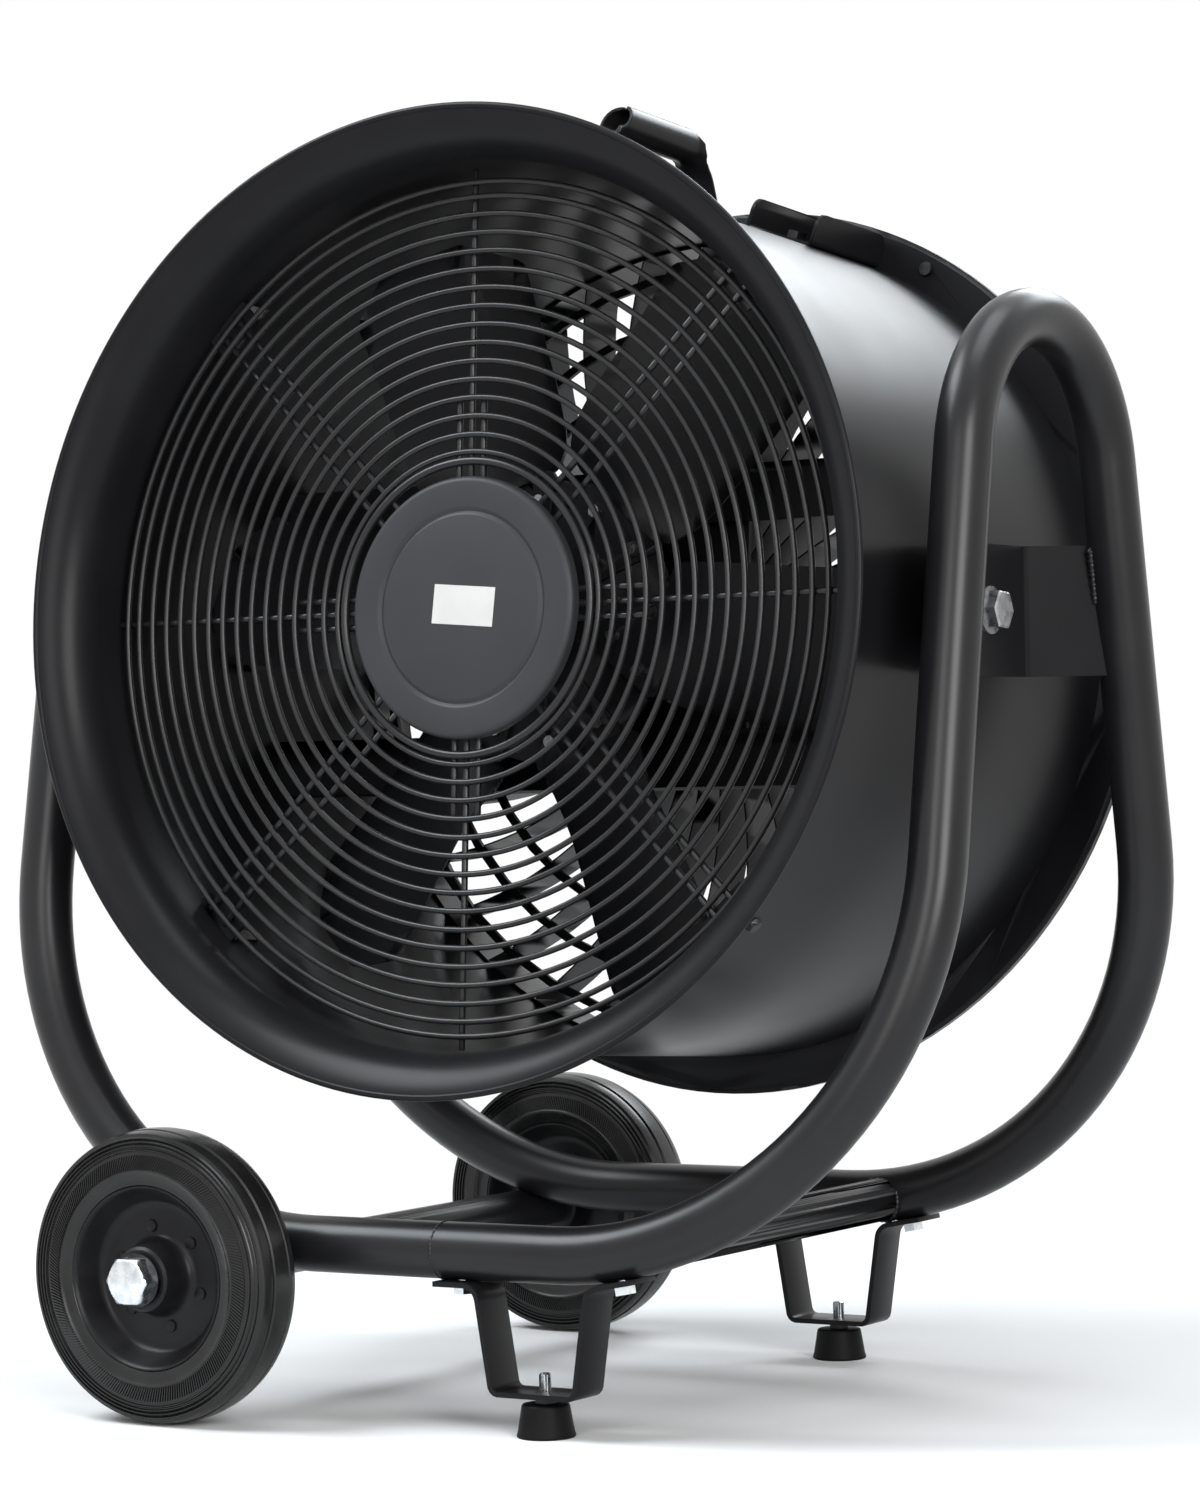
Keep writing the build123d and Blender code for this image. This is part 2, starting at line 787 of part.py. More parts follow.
def blade_section(radius, pitch, set_back):
    """Thin cambered section of the blade, square to its centre line."""
    turn = radians(pitch)
    camber = 0.055
    lead = blade_lead
    trail = blade_trail
    chord = (lead + trail) / cos(turn)
    middle = (lead - trail) / 2
    rise = chord * camber
    half = chord / 2
    plane = Plane(
        origin=(radius, pad_front + blade_thick / 2 + set_back - middle * tan(turn), middle),
        x_dir=(0, -sin(turn), cos(turn)),
        z_dir=(1, 0, 0),
    )
    thin = blade_thick / 2
    front = ThreePointArc((-half, -thin), (0, -thin + rise), (half, -thin))
    back = ThreePointArc((-half, thin), (0, thin + rise), (half, thin))
    ends = Line(front @ 0, back @ 0) + Line(front @ 1, back @ 1)
    return plane * make_face(front + back + ends)


def blade():
    """Pressed blade along +X: a flat root pad that twists out into a wide paddle."""
    web = loft([blade_section(*section) for section in blade_sections])
    root = impeller_plate_radius - 4
    outline = Polyline(
        (root, -blade_trail + 4),
        (root + 26, -blade_trail),
        (blade_tip_radius - 24, -blade_trail),
        (blade_tip_radius, -blade_trail + 34),
        (blade_tip_radius - 4, blade_lead - 26),
        (blade_tip_radius - 34, blade_lead),
        (root + 26, blade_lead - 17),
        (root + 8, blade_lead - 20),
        (root, 42),
        close=True,
    )
    outline = fillet(make_face(outline).vertices(), 12)
    web = web & through(outline, pad_front - 90, pad_front + 90)
    pad = make_face(
        Polyline(
            (blade_root_radius, -14),
            (root + 6, -40),
            (root + 6, 40),
            (blade_root_radius, 14),
            close=True,
        )
    )
    pad = fillet(pad.vertices(), 6)
    pressed = web + through(pad, pad_front, hub_front)
    pressed = pressed - through(Circle(impeller_plate_radius), hub_front, hub_front + 40)
    for radius, angle in blade_bolt_places:
        hole = Pos(radius, 0, 0) * through(Circle(screw_radius), pad_front - 5, hub_front + 5)
        pressed = pressed - spun(hole, angle)
    return pressed


def blade_bolts():
    """Three domed bolts hold each blade to the plate."""
    bolts = []
    bolt = Rot(-90, 0, 0) * pan_screw(screw_radius, blade_thick, blade_bolt_radius, 3.6)
    for step in range(blade_count):
        centre = first_blade_angle + 360 / blade_count * step
        for radius, angle in blade_bolt_places:
            bolts.append(spun(Pos(radius, pad_front, 0) * bolt, centre + angle))
    return bolts


# ---- back vanes ----
def vane_line():
    """Plan of one vane: leaves the hub along the radius and sweeps back."""
    start = back_hub_radius - sheet / 2
    turn = radians(vane_sweep)
    end_x = band_radius * cos(turn * 0.5)
    end_z = -band_radius * sin(turn * 0.5)
    return TangentArc((start, 0), (end_x, end_z), tangent=(1, 0))


def vane_band():
    """Band just inside the shell, with a lip that lies on the back ring."""
    band = turned(
        make_face(
            Polyline(
                (band_radius - sheet, vane_front),
                (band_radius, vane_front),
                (band_radius, vane_back - sheet),
                (back_radius - 5, vane_back - sheet),
                (back_radius - 5, vane_back),
                (band_radius - sheet, vane_back),
                close=True,
            )
        )
    )
    hole = through(Circle(screw_radius), vane_back - 5, vane_back + 5)
    for angle in back_screw_angles:
        band = band - spun(Pos(back_screw_radius, 0, 0) * hole, angle)
    return band


def back_vanes():
    """Curved vanes that stand on a hub ring and reach out to the band."""
    hub = through(Circle(back_hub_radius) - Circle(back_hub_radius - sheet), vane_front, vane_back)
    reach = through(Circle(band_radius - sheet - seat_gap), vane_front, vane_back)
    vane = through(trace(vane_line(), vane_thick), vane_front, vane_back) & reach
    vanes = [spun(vane, 360 / vane_count * step) for step in range(vane_count)]
    return hub.fuse(*vanes)


def back_rings():
    """Hoops across the front edges of the vanes, and the plate over the hub ring."""
    front = vane_front - hoop_thick
    hoops = [polygon_ring(radius, hoop_bar, ring_sides, front, vane_front) for radius in hoop_radii]
    hoops.append(through(Circle(back_hub_radius + 4), vane_back, vane_back + 3))
    return hoops


# ---- handle and channel ----
def top_handle():
    """Strap on two splayed legs, its middle rolled into a round grip."""
    top = grip_rise + grip_radius * 0.62
    foot = drum_radius + handle_thick / 2 - 0.3
    line = FilletPolyline(
        (grip_from - handle_spread - handle_foot, foot),
        (grip_from - handle_spread, foot),
        (grip_from - 14, top),
        (grip_to + 14, top),
        (grip_to + handle_spread, foot),
        (grip_to + handle_spread + handle_foot, foot),
        radius=handle_bend,
    )
    strap = across(trace(line, handle_thick), -grip_radius, grip_radius)
    strap = strap - through(Circle(drum_radius), -200, 250)
    strap = strap - through(Pos(0, top) * Rectangle(40, 20), grip_from + 2, grip_to - 2)
    ring = Circle(grip_radius) - Circle(grip_radius - handle_thick)
    slot = Pos(-4, -grip_radius) * Rectangle(10, grip_radius * 1.4)
    handle = through(Pos(0, grip_rise) * (ring - slot), grip_from, grip_to) + strap
    for station in handle_bolt_stations():
        handle = handle - Pos(0, station, drum_radius) * Cylinder(screw_radius, 20)
    return handle


def handle_bolt_stations():
    front = grip_from - handle_spread - handle_foot / 2 - 2
    back = grip_to + handle_spread + handle_foot / 2 + 2
    return (front, back)


def top_channel():
    """Open channel along the drum, turned away from the handle, with rounded ears."""
    half = channel_width / 2
    floor_low = drum_radius - 0.8
    outer = Pos(0, floor_low + channel_height / 2) * RectangleRounded(channel_width, channel_height, 4)
    outer = outer + Pos(0, floor_low + channel_height * 0.75) * Rectangle(channel_width, channel_height / 2)
    inner = Pos(0, floor_low + channel_thick + channel_height / 2) * RectangleRounded(
        channel_width - 2 * channel_thick, channel_height, 2
    )
    inner = inner + Pos(0, floor_low + channel_height) * Rectangle(
        channel_width - 2 * channel_thick, channel_height
    )
    body = through(outer - inner, channel_from, flange_station)
    ears = make_face(
        Polyline(
            (channel_from, floor_low - 5),
            (channel_from, floor_low + channel_height),
            (flange_station, floor_low + channel_height),
            (flange_station, floor_low - 5),
            close=True,
        )
    )
    ears = fillet(ears.vertices().group_by(Axis.Y)[-1], channel_corner)
    body = body & across(ears, -half - 1, half + 1)
    body = body - through(Circle(drum_radius), channel_from - 5, flange_station + 5)
    for station in channel_bolt_stations():
        body = body - Pos(0, station, drum_radius) * Cylinder(channel_bolt_radius, 20)
    return spun(body, -channel_turn)


def channel_bolt_stations():
    length = flange_station - channel_from
    return (channel_from + length / 4, flange_station - length / 4)


def top_bolts():
    """Bolts that hold the handle's feet and the channel to the shell."""
    bolts = []
    small = Rot(180, 0, 0) * pan_screw(screw_radius, handle_thick + sheet, screw_head_radius, screw_head)
    for station in handle_bolt_stations():
        bolts.append(Pos(0, station, drum_radius + handle_thick - 0.3) * small)
    seat = drum_radius - 0.8 + channel_thick
    head = extrude(hexagon(14), amount=6)
    shank = extrude(RegularPolygon(channel_bolt_radius, 12), amount=-channel_thick - sheet)
    for station in channel_bolt_stations():
        bolts.append(spun(Pos(0, station, seat) * (head + shank), -channel_turn))
    return bolts


def main():
    os.makedirs("parts", exist_ok=True)
    cores = [lower_core(-1), lower_core(1)]
    save("frame_tube_left", frame_half(-1))
    save("frame_tube_right", frame_half(1))
    save("axle_tube", cross_tube(axle_offset, axle_height, axle_tube_radius, axle_end, cores))
    save("brace_tube", cross_tube(brace_offset, base_height, brace_radius, base_spread, cores))
    save_many("axle_bushes", [axle_bush(-1), axle_bush(1)])
    save_many("axle_bolts", [at_wheel(axle_bolt(), end) for end in (-1, 1)])
    save_many("axle_washers", [at_wheel(axle_washer(), end) for end in (-1, 1)])
    save("tyre_front", at_wheel(tyre(), -1))
    save("tyre_back", at_wheel(tyre(), 1))
    save("wheel_disc_front", at_wheel(wheel_disc(), -1))
    save("wheel_disc_back", at_wheel(wheel_disc(), 1))
    save("foot_strap_front", foot_strap(-1, cores[0]))
    save("foot_strap_back", foot_strap(1, cores[1]))
    save_many("bracket_bolts", bracket_bolts())
    save_many("lock_nuts", [lock_nut(-1), lock_nut(1)])
    save("rubber_foot_front", rubber_foot(-1))
    save("rubber_foot_back", rubber_foot(1))
    save("foot_stud_front", foot_stud(-1))
    save("foot_stud_back", foot_stud(1))
    save_many("pivot_plates", [pivot_plate(-1), pivot_plate(1)])

    save_many("pivot_bosses", [in_frame(pivot_boss(side)) for side in (-1, 1)])
    save_many("pivot_bolts", [in_frame(pivot_bolt(side)) for side in (-1, 1)])
    save_many("pivot_washers", [in_frame(pivot_washer(side)) for side in (-1, 1)])
    save("drum_shell", in_frame(drum_shell()))
    save("bell_mouth", in_frame(bell_mouth()))
    save("back_ring", in_frame(back_ring()))
    save_many("drum_screws", [in_frame(screw) for screw in drum_screws()])
    save_many("guard_rings", [in_frame(ring) for ring in guard_rings()])
    save_many("guard_spokes", [in_frame(bar) for bar in guard_spokes()])
    save_many("guard_tabs", [in_frame(spun(guard_tab(), angle)) for angle in guard_screw_angles])
    save("hub_cap", in_frame(hub_cap()))
    rail = motor_rail()
    mount = [motor_plate(), rail, mirror(rail, Plane.XY)] + on_bolt_circle(motor_bolt())
    save_many("motor_plate", [in_frame(piece) for piece in mount])
    save("motor_stator", in_frame(motor_stator()))
    save("motor_rotor", in_frame(motor_rotor()))
    save("impeller_plate", in_frame(impeller_plate()))
    blades = [in_frame(spun(blade(), first_blade_angle + 60 * step)) for step in range(blade_count)]
    save_many("blades", blades)
    save_many("blade_bolts", [in_frame(bolt) for bolt in blade_bolts()])
    save("vane_band", in_frame(vane_band()))
    save("back_vanes", in_frame(back_vanes()))
    save_many("back_rings", [in_frame(ring) for ring in back_rings()])
    save("top_handle", in_frame(top_handle()))
    save("top_channel", in_frame(top_channel()))
    save_many("top_bolts", [in_frame(bolt) for bolt in top_bolts()])


main()
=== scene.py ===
"""Looks of the tilting drum fan: satin black powder coat, zinc bolts and black rubber.

Everything is in metres in the frame's own axes. Pieces of the drum are modelled level,
with the drum's axis along Y and the tilt axis through the origin, and are then put
into the frame by DRUM_PLACE.
"""

import bpy
from math import atan2, cos, pi, radians, sin, sqrt, tan
from mathutils import Matrix, Vector


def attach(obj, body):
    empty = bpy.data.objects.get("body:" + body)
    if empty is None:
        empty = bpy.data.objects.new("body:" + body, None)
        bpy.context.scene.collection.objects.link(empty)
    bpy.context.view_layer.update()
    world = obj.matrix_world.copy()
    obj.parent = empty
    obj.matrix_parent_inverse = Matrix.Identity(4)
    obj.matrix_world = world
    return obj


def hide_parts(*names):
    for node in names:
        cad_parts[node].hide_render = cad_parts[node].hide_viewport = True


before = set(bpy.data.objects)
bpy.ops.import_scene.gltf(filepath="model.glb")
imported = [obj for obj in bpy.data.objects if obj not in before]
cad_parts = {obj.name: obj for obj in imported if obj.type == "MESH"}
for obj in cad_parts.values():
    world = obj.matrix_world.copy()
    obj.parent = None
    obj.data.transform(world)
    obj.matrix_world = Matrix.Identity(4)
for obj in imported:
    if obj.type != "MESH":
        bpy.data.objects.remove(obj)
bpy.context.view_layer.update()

MM = 0.001

# Drum, as the frame has it
REST_TILT = radians(4.2)
PIVOT = Vector((0.0, 14.0, 533.5)) * MM
DRUM_PLACE = Matrix.Translation(PIVOT) @ Matrix.Rotation(-REST_TILT, 4, "X")
DRUM_RADIUS = 300 * MM
SHEET = 1.5 * MM
FRONT = -210 * MM
BACK = 210 * MM
THROAT = FRONT + 59 * MM
FLANGE = BACK - 8 * MM
MOUTH_RADIUS = 331 * MM
FLARE_TURN = 76
HEM_WIRE = 2.4 * MM
HEM_SEAT = 2.6 * MM
ROUND = 192

# Front guard
RING_STATION = FRONT + 55 * MM
RING_WIRE = 2.1 * MM
SPOKE_WIRE = 2.3 * MM
COLLAR_WIRE = 2.9 * MM
COLLAR_RADIUS = 99.2 * MM
RING_RADII = [105.5 * MM]
RING_RADII += [(117.3 + 12.4 * step) * MM for step in range(13)]
RING_RADII += [278 * MM, 288 * MM]
SPOKE_STATION = RING_STATION + RING_WIRE + SPOKE_WIRE - 0.4 * MM
SPOKE_INNER = 80 * MM
LONG_SPOKE = 297.2 * MM
SHORT_SPOKE = 141 * MM
SHORT_GAP = 9.7 * MM
SLANT_SPOKE = 293.4 * MM
SLANT_GAP = 8.2 * MM
CAP_RADIUS = 88.7 * MM
CAP_FACE = RING_STATION + RING_WIRE - 9 * MM
CAP_EDGE = 4.5 * MM
CAP_GROOVE = 65 * MM
CAP_FLAT = 20 * MM
LABEL_PLACE = (2.6 * MM, CAP_FACE - 0.03 * MM, 1 * MM)
LABEL_SIZE = (49 * MM, 0.25 * MM, 26.5 * MM)
LABEL_TURN = radians(5)

# Frame
TUBE_RADIUS = 19 * MM
LEG_LEAN = radians(10.2)
BASE_HEIGHT = 119 * MM
LOOP_BEND = 107.5 * MM
LOOP_CENTRE = 722 * MM - LOOP_BEND
BASE_SPREAD = LOOP_BEND / cos(LEG_LEAN) + (LOOP_CENTRE - BASE_HEIGHT) * tan(LEG_LEAN)
SEAM_FRONT = 10 * MM
SEAM_BACK = 45 * MM
BRACE_X = 131 * MM
BRACE_RADIUS = 15.5 * MM
# Where the plates' wings meet the legs, from the middle: front, then back
PLATE_JOINTS = ((-1, 347.7 * MM, 108.0 * MM), (1, 346.3 * MM, 108.8 * MM))
STITCH_RUNS = ((-43 * MM, -22 * MM), (4 * MM, 43 * MM))
STITCH_SIZE = 2.4 * MM
SEAM_SIZE = 1.0 * MM
BRACE_BEAD = 1.7 * MM

# Feet
FOOT_X = 86 * MM
STRAP_REACH = 76 * MM
STRAP_MOUTH = 43 * MM
STRAP_BASE = 32 * MM
STRAP_LOW = 28.05 * MM
STRAP_INNER = 98.25 * MM
STRAP_CORNER = 99.6 * MM
STRAP_OUTER = 105.7 * MM
STRAP_BENDS = (11 * MM, 6 * MM, 6 * MM, 11 * MM)
STRAP_WIDTH = 33 * MM
STRAP_SHEET = 3.5 * MM
STUD_HOLE = 4.08 * MM
FOOT_BORE = 4.3 * MM
FOOT_TOP = 21.9 * MM

# Wheels
WHEEL_X = -182 * MM
WHEEL_Y = 255 * MM
WHEEL_RADIUS = 100 * MM
TYRE_HALF = 22 * MM
KNURL_FROM = 73 * MM
KNURL_TO = 83.5 * MM
KNURL_SKEW = radians(3.6)
KNURL_GAP = 0.42 * MM
KNURL_SLOPE = 0.14 * MM
KNURL_HEIGHT = 0.9 * MM
DISC_HALF = 2.4 * MM
HUB_BORE = 10.2 * MM
HUB_HALF = 26 * MM
RIVETS = 6
RIVET_CIRCLE = 34.5 * MM
RIVET_RADIUS = 4.2 * MM
RIVET_HEAD = 1.6 * MM

# Handle
GRIP_RADIUS = 11.75 * MM
GRIP_FROM = 12 * MM
GRIP_TO = 120 * MM
GRIP_BOTTOM = 364 * MM - GRIP_RADIUS
HANDLE_SHEET = 2.3 * MM
HANDLE_SEAT = DRUM_RADIUS + 1.35 * MM
HANDLE_TAIL = 68 * MM
HANDLE_HEEL = 38 * MM
HANDLE_BENDS = (5 * MM, 22 * MM, 22 * MM, 5 * MM)
WING_OPEN = 64
WING_CURL = 112

# Studio
WORLD_LIGHT = 0.22
FLOOR_WHITE = (0.93, 0.93, 0.93)
FLOOR_FADE = (0.45, 1.5)
COOL = (0.91, 0.96, 1.0)
FAN_MIDDLE = Vector((0, 0, 0.5))

# Camera, fitted to the photograph
CAMERA_PLACE = (1.5793, -2.5040, 0.4348)
CAMERA_AZIMUTH = radians(33.05)
CAMERA_ELEVATION = radians(1.35)
CAMERA_ROLL = radians(-1.39)
CAMERA_LENS = 101.4
CAMERA_SHIFT = (0.0507, 0.080)


# ---- working in edit mode ----
def clear_selection():
    for piece in list(bpy.context.selected_objects):
        piece.select_set(False)


def take(piece):
    clear_selection()
    piece.select_set(True)
    bpy.context.view_layer.objects.active = piece


def open_mesh(piece, mode="VERT"):
    take(piece)
    bpy.ops.object.mode_set(mode="EDIT")
    bpy.ops.mesh.select_mode(type=mode)


def close_mesh():
    """Merge doubles, turn the faces outwards and leave edit mode."""
    bpy.ops.mesh.select_mode(type="VERT")
    bpy.ops.mesh.select_all(action="SELECT")
    bpy.ops.mesh.remove_doubles(threshold=0.02 * MM)
    bpy.ops.mesh.normals_make_consistent(inside=False)
    bpy.ops.object.mode_set(mode="OBJECT")


def named(name):
    piece = bpy.context.object
    piece.name = name
    piece.data.name = name
    return piece


def settle(piece, place=Matrix.Identity(4)):
    """Put the piece's place into its mesh, so that its object sits at the origin."""
    bpy.context.view_layer.update()
    piece.matrix_world = place @ piece.matrix_world
    take(piece)
    bpy.ops.object.transform_apply(location=True, rotation=True, scale=True)


def smooth(piece, angle=35):
    take(piece)
    bpy.ops.object.shade_smooth_by_angle(angle=radians(angle))


def thicken(piece, thickness, offset=-1.0):
    take(piece)
    wall = piece.modifiers.new("wall", "SOLIDIFY")
    wall.thickness = thickness
    wall.offset = offset
    wall.use_even_offset = True
    bpy.ops.object.modifier_apply(modifier=wall.name)


def round_edges(piece, width, segments=2, angle=40):
    take(piece)
    edge = piece.modifiers.new("edges", "BEVEL")
    edge.width = width
    edge.segments = segments
    edge.limit_method = "ANGLE"
    edge.angle_limit = radians(angle)
    bpy.ops.object.modifier_apply(modifier=edge.name)


def merge(pieces, name):
    clear_selection()
    for piece in pieces:
        piece.select_set(True)
    bpy.context.view_layer.objects.active = pieces[0]
    bpy.ops.object.join()
    return named(name)


def about_drum(angle):
    """Turn about the drum's axis, counter-clockwise seen from the outlet."""
    return Matrix.Rotation(-angle, 4, "Y")


def lathe(name, profile, sides):
    """Extrude and scale a circle along Y through (radius, station) points."""
    clear_selection()
    radius, station = profile[0]
    bpy.ops.mesh.primitive_circle_add(
        vertices=sides, radius=radius, location=(0, station, 0), rotation=(pi / 2, 0, 0)
    )
    piece = named(name)
    settle(piece)
    open_mesh(piece)
    bpy.ops.mesh.select_all(action="SELECT")
    for next_radius, next_station in profile[1:]:
        grow = next_radius / radius
        bpy.ops.mesh.extrude_region_move()
        bpy.ops.transform.resize(value=(grow, 1, grow), center_override=(0, station, 0))
        bpy.ops.transform.translate(value=(0, next_station - station, 0))
        radius, station = next_radius, next_station
    close_mesh()
    return piece


def fill_ends(piece):
    """Close every open edge loop with a face."""
    open_mesh(piece, "EDGE")
    bpy.ops.mesh.select_all(action="DESELECT")
    bpy.ops.mesh.select_non_manifold()
    bpy.ops.mesh.edge_face_add()
    close_mesh()


def arc(centre, radius, start, end, steps):
    """Points of an arc in (radius, station) terms, from start to end in degrees."""
    points = []
    for step in range(steps + 1):
        angle = radians(start + (end - start) * step / steps)
        points.append((centre[0] + radius * cos(angle), centre[1] + radius * sin(angle)))
    return points


def carried(node, angle):
    """The node's own shape with its triangles merged and its curved faces smoothed."""
    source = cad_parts[node]
    piece = source.copy()
    piece.data = source.data.copy()
    for key in list(piece.keys()):
        del piece[key]
    piece.parent = None
    bpy.context.scene.collection.objects.link(piece)
    piece.name = node + "_finish"
    open_mesh(piece)
    bpy.ops.mesh.select_all(action="SELECT")
    bpy.ops.mesh.remove_doubles(threshold=0.01 * MM)
    bpy.ops.mesh.select_all(action="SELECT")
    bpy.ops.mesh.dissolve_limited(angle_limit=radians(0.5))
    bpy.ops.object.mode_set(mode="OBJECT")
    smooth(piece, angle)
    return piece


def in_mm(*points):
    """Points written in millimetres, given back in metres."""
    return [(first * MM, second * MM) for first, second in points]


# ---- materials ----
def new_material(name, colour, roughness, metallic=0.0, specular=0.5):
    material = bpy.data.materials.new(name)
    material.use_nodes = True
    shader = material.node_tree.nodes["Principled BSDF"]
    shader.inputs["Base Color"].default_value = (*colour, 1)
    shader.inputs["Roughness"].default_value = roughness
    shader.inputs["Metallic"].default_value = metallic
    shader.inputs["Specular IOR Level"].default_value = specular
    material.diffuse_color = (*colour, 1)
    return material


def node(material, kind, **values):
    made = material.node_tree.nodes.new(kind)
    for key, value in values.items():
        if key in made.inputs:
            made.inputs[key].default_value = value
        else:
            setattr(made, key, value)
    return made


def join(material, source, socket, target, name):
    material.node_tree.links.new(source.outputs[socket], target.inputs[name])


def object_noise(material, size):
    """Noise whose grains are about size metres across."""
    place = node(material, "ShaderNodeTexCoord")
    noise = node(material, "ShaderNodeTexNoise", Scale=1 / size, Detail=3.0, Roughness=0.5)
    join(material, place, "Object", noise, "Vector")
    return noise


def spread(material, source, socket, low, high, first=0.0, second=1.0):
    """Map a value's range onto another."""
    ramp = node(material, "ShaderNodeMapRange")
    ramp.inputs["From Min"].default_value = low
    ramp.inputs["From Max"].default_value = high
    ramp.inputs["To Min"].default_value = first
    ramp.inputs["To Max"].default_value = second
    join(material, source, socket, ramp, "Value")
    return ramp


def tint(material, source, socket, dark, light):
    """Two colours mixed by a value."""
    mix = node(material, "ShaderNodeMix", data_type="RGBA")
    mix.inputs[6].default_value = (*dark, 1)
    mix.inputs[7].default_value = (*light, 1)
    join(material, source, socket, mix, 0)
    return mix


def shader_of(material):
    return material.node_tree.nodes["Principled BSDF"]


def rough_and_bump(material, grain, depth, strength, patch, low, high):
    """Fine grain as bump, and broad patches that change the roughness."""
    fine = object_noise(material, grain)
    bump = node(material, "ShaderNodeBump", Strength=strength, Distance=depth)
    join(material, fine, "Fac", bump, "Height")
    join(material, bump, "Normal", shader_of(material), "Normal")
    broad = object_noise(material, patch)
    change = spread(material, broad, "Fac", 0.3, 0.7, low, high)
    join(material, change, "Result", shader_of(material), "Roughness")
    return broad


def coating(name, dark, light, roughness, metal, shine, grain, depth, strength, patch, share):
    """Material with a fine grain, patchy roughness, and a colour that drifts with the patches."""
    low, high = roughness
    material = new_material(name, light, high, metal, shine)
    broad = rough_and_bump(material, grain, depth, strength, patch, low, high)
    patches = spread(material, broad, "Fac", *share)
    colour = tint(material, patches, "Result", dark, light)
    join(material, colour, 2, shader_of(material), "Base Color")
    return material


def powder_coat(name, dark, light, roughness, shine):
    """Baked powder paint: orange peel, and dust that greys it a little."""
    grain, depth, strength, patch = 0.9 * MM, 0.05 * MM, 0.25, 70 * MM
    return coating(
        name, dark, light, roughness, 0.0, shine, grain, depth, strength, patch, (0.2, 0.8)
    )


def zinc_plate(name, dark, light, roughness):
    """Plated steel with a faint cloudy colour."""
    grain, depth, strength, patch = 0.5 * MM, 0.03 * MM, 0.2, 6 * MM
    return coating(
        name, dark, light, roughness, 1.0, 0.5, grain, depth, strength, patch, (0.35, 0.65)
    )


def moulded(name, dark, light, roughness, grain, strength, shine):
    """Rubber or plastic out of a mould, with a fine even grain."""
    depth, patch = 0.06 * MM, 25 * MM
    return coating(
        name, dark, light, roughness, 0.0, shine, grain, depth, strength, patch, (0.35, 0.7)
    )


# Each: name, darkest and lightest colour, roughness from and to; then the shine of a paint,
# or the grain, its strength and the shine of a moulding
FRAME_PAINT = powder_coat(
    "frame_paint", (0.007, 0.007, 0.008), (0.011, 0.011, 0.012), (0.29, 0.34), 0.30
)
DRUM_PAINT = powder_coat(
    "drum_paint", (0.007, 0.007, 0.008), (0.010, 0.010, 0.011), (0.29, 0.33), 0.12
)
GUARD_PAINT = powder_coat(
    "guard_paint", (0.009, 0.009, 0.010), (0.014, 0.014, 0.015), (0.26, 0.32), 0.34
)
VANE_PAINT = powder_coat(
    "vane_paint", (0.006, 0.006, 0.007), (0.010, 0.010, 0.011), (0.38, 0.46), 0.12
)
CAP_PAINT = powder_coat(
    "cap_paint", (0.024, 0.025, 0.027), (0.030, 0.031, 0.034), (0.42, 0.50), 0.25
)
BLADE_PAINT = powder_coat(
    "blade_paint", (0.006, 0.006, 0.007), (0.010, 0.010, 0.011), (0.36, 0.44), 0.14
)
ZINC = zinc_plate("zinc_plate", (0.62, 0.66, 0.70), (0.82, 0.84, 0.84), (0.20, 0.34))
DARK_ZINC = zinc_plate("dark_zinc", (0.30, 0.30, 0.31), (0.46, 0.46, 0.47), (0.24, 0.34))
BLACK_SCREW = zinc_plate("black_oxide", (0.035, 0.035, 0.037), (0.060, 0.060, 0.062), (0.32, 0.42))
TURNED_STEEL = zinc_plate("turned_steel", (0.40, 0.40, 0.41), (0.50, 0.50, 0.51), (0.30, 0.40))
TYRE_RUBBER = moulded(
    "tyre_rubber", (0.006, 0.006, 0.006), (0.011, 0.011, 0.011), (0.22, 0.30), 0.8 * MM, 0.15, 0.36
)
RIM_PAINT = moulded(
    "rim_paint", (0.007, 0.007, 0.008), (0.011, 0.011, 0.012), (0.30, 0.38), 1.2 * MM, 0.15, 0.18
)
FOOT_RUBBER = moulded(
    "foot_rubber", (0.004, 0.004, 0.004), (0.007, 0.007, 0.007), (0.45, 0.55), 0.7 * MM, 0.12, 0.08
)
LABEL_PAPER = moulded(
    "label_paper", (0.50, 0.50, 0.49), (0.54, 0.54, 0.53), (0.45, 0.55), 0.4 * MM, 0.1, 0.4
)


def dress(piece, material, body, slot, *nodes):
    """Give a finished piece its material and body, and hide the nodes it stands for; the slot is
    not used.
    """
    piece.data.materials.clear()
    piece.data.materials.append(material)
    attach(piece, body)
    if nodes:
        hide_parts(*nodes)
    return piece


# ---- drum ----
def make_shell():
    """Plain rolled sheet from the mouth's throat to the back flange."""
    piece = lathe("shell", [(DRUM_RADIUS, THROAT), (DRUM_RADIUS, FLANGE)], ROUND)
    thicken(piece, SHEET)
    smooth(piece)
    settle(piece, DRUM_PLACE)
    return dress(piece, DRUM_PAINT, "drum", "drum_paint", "drum_shell")


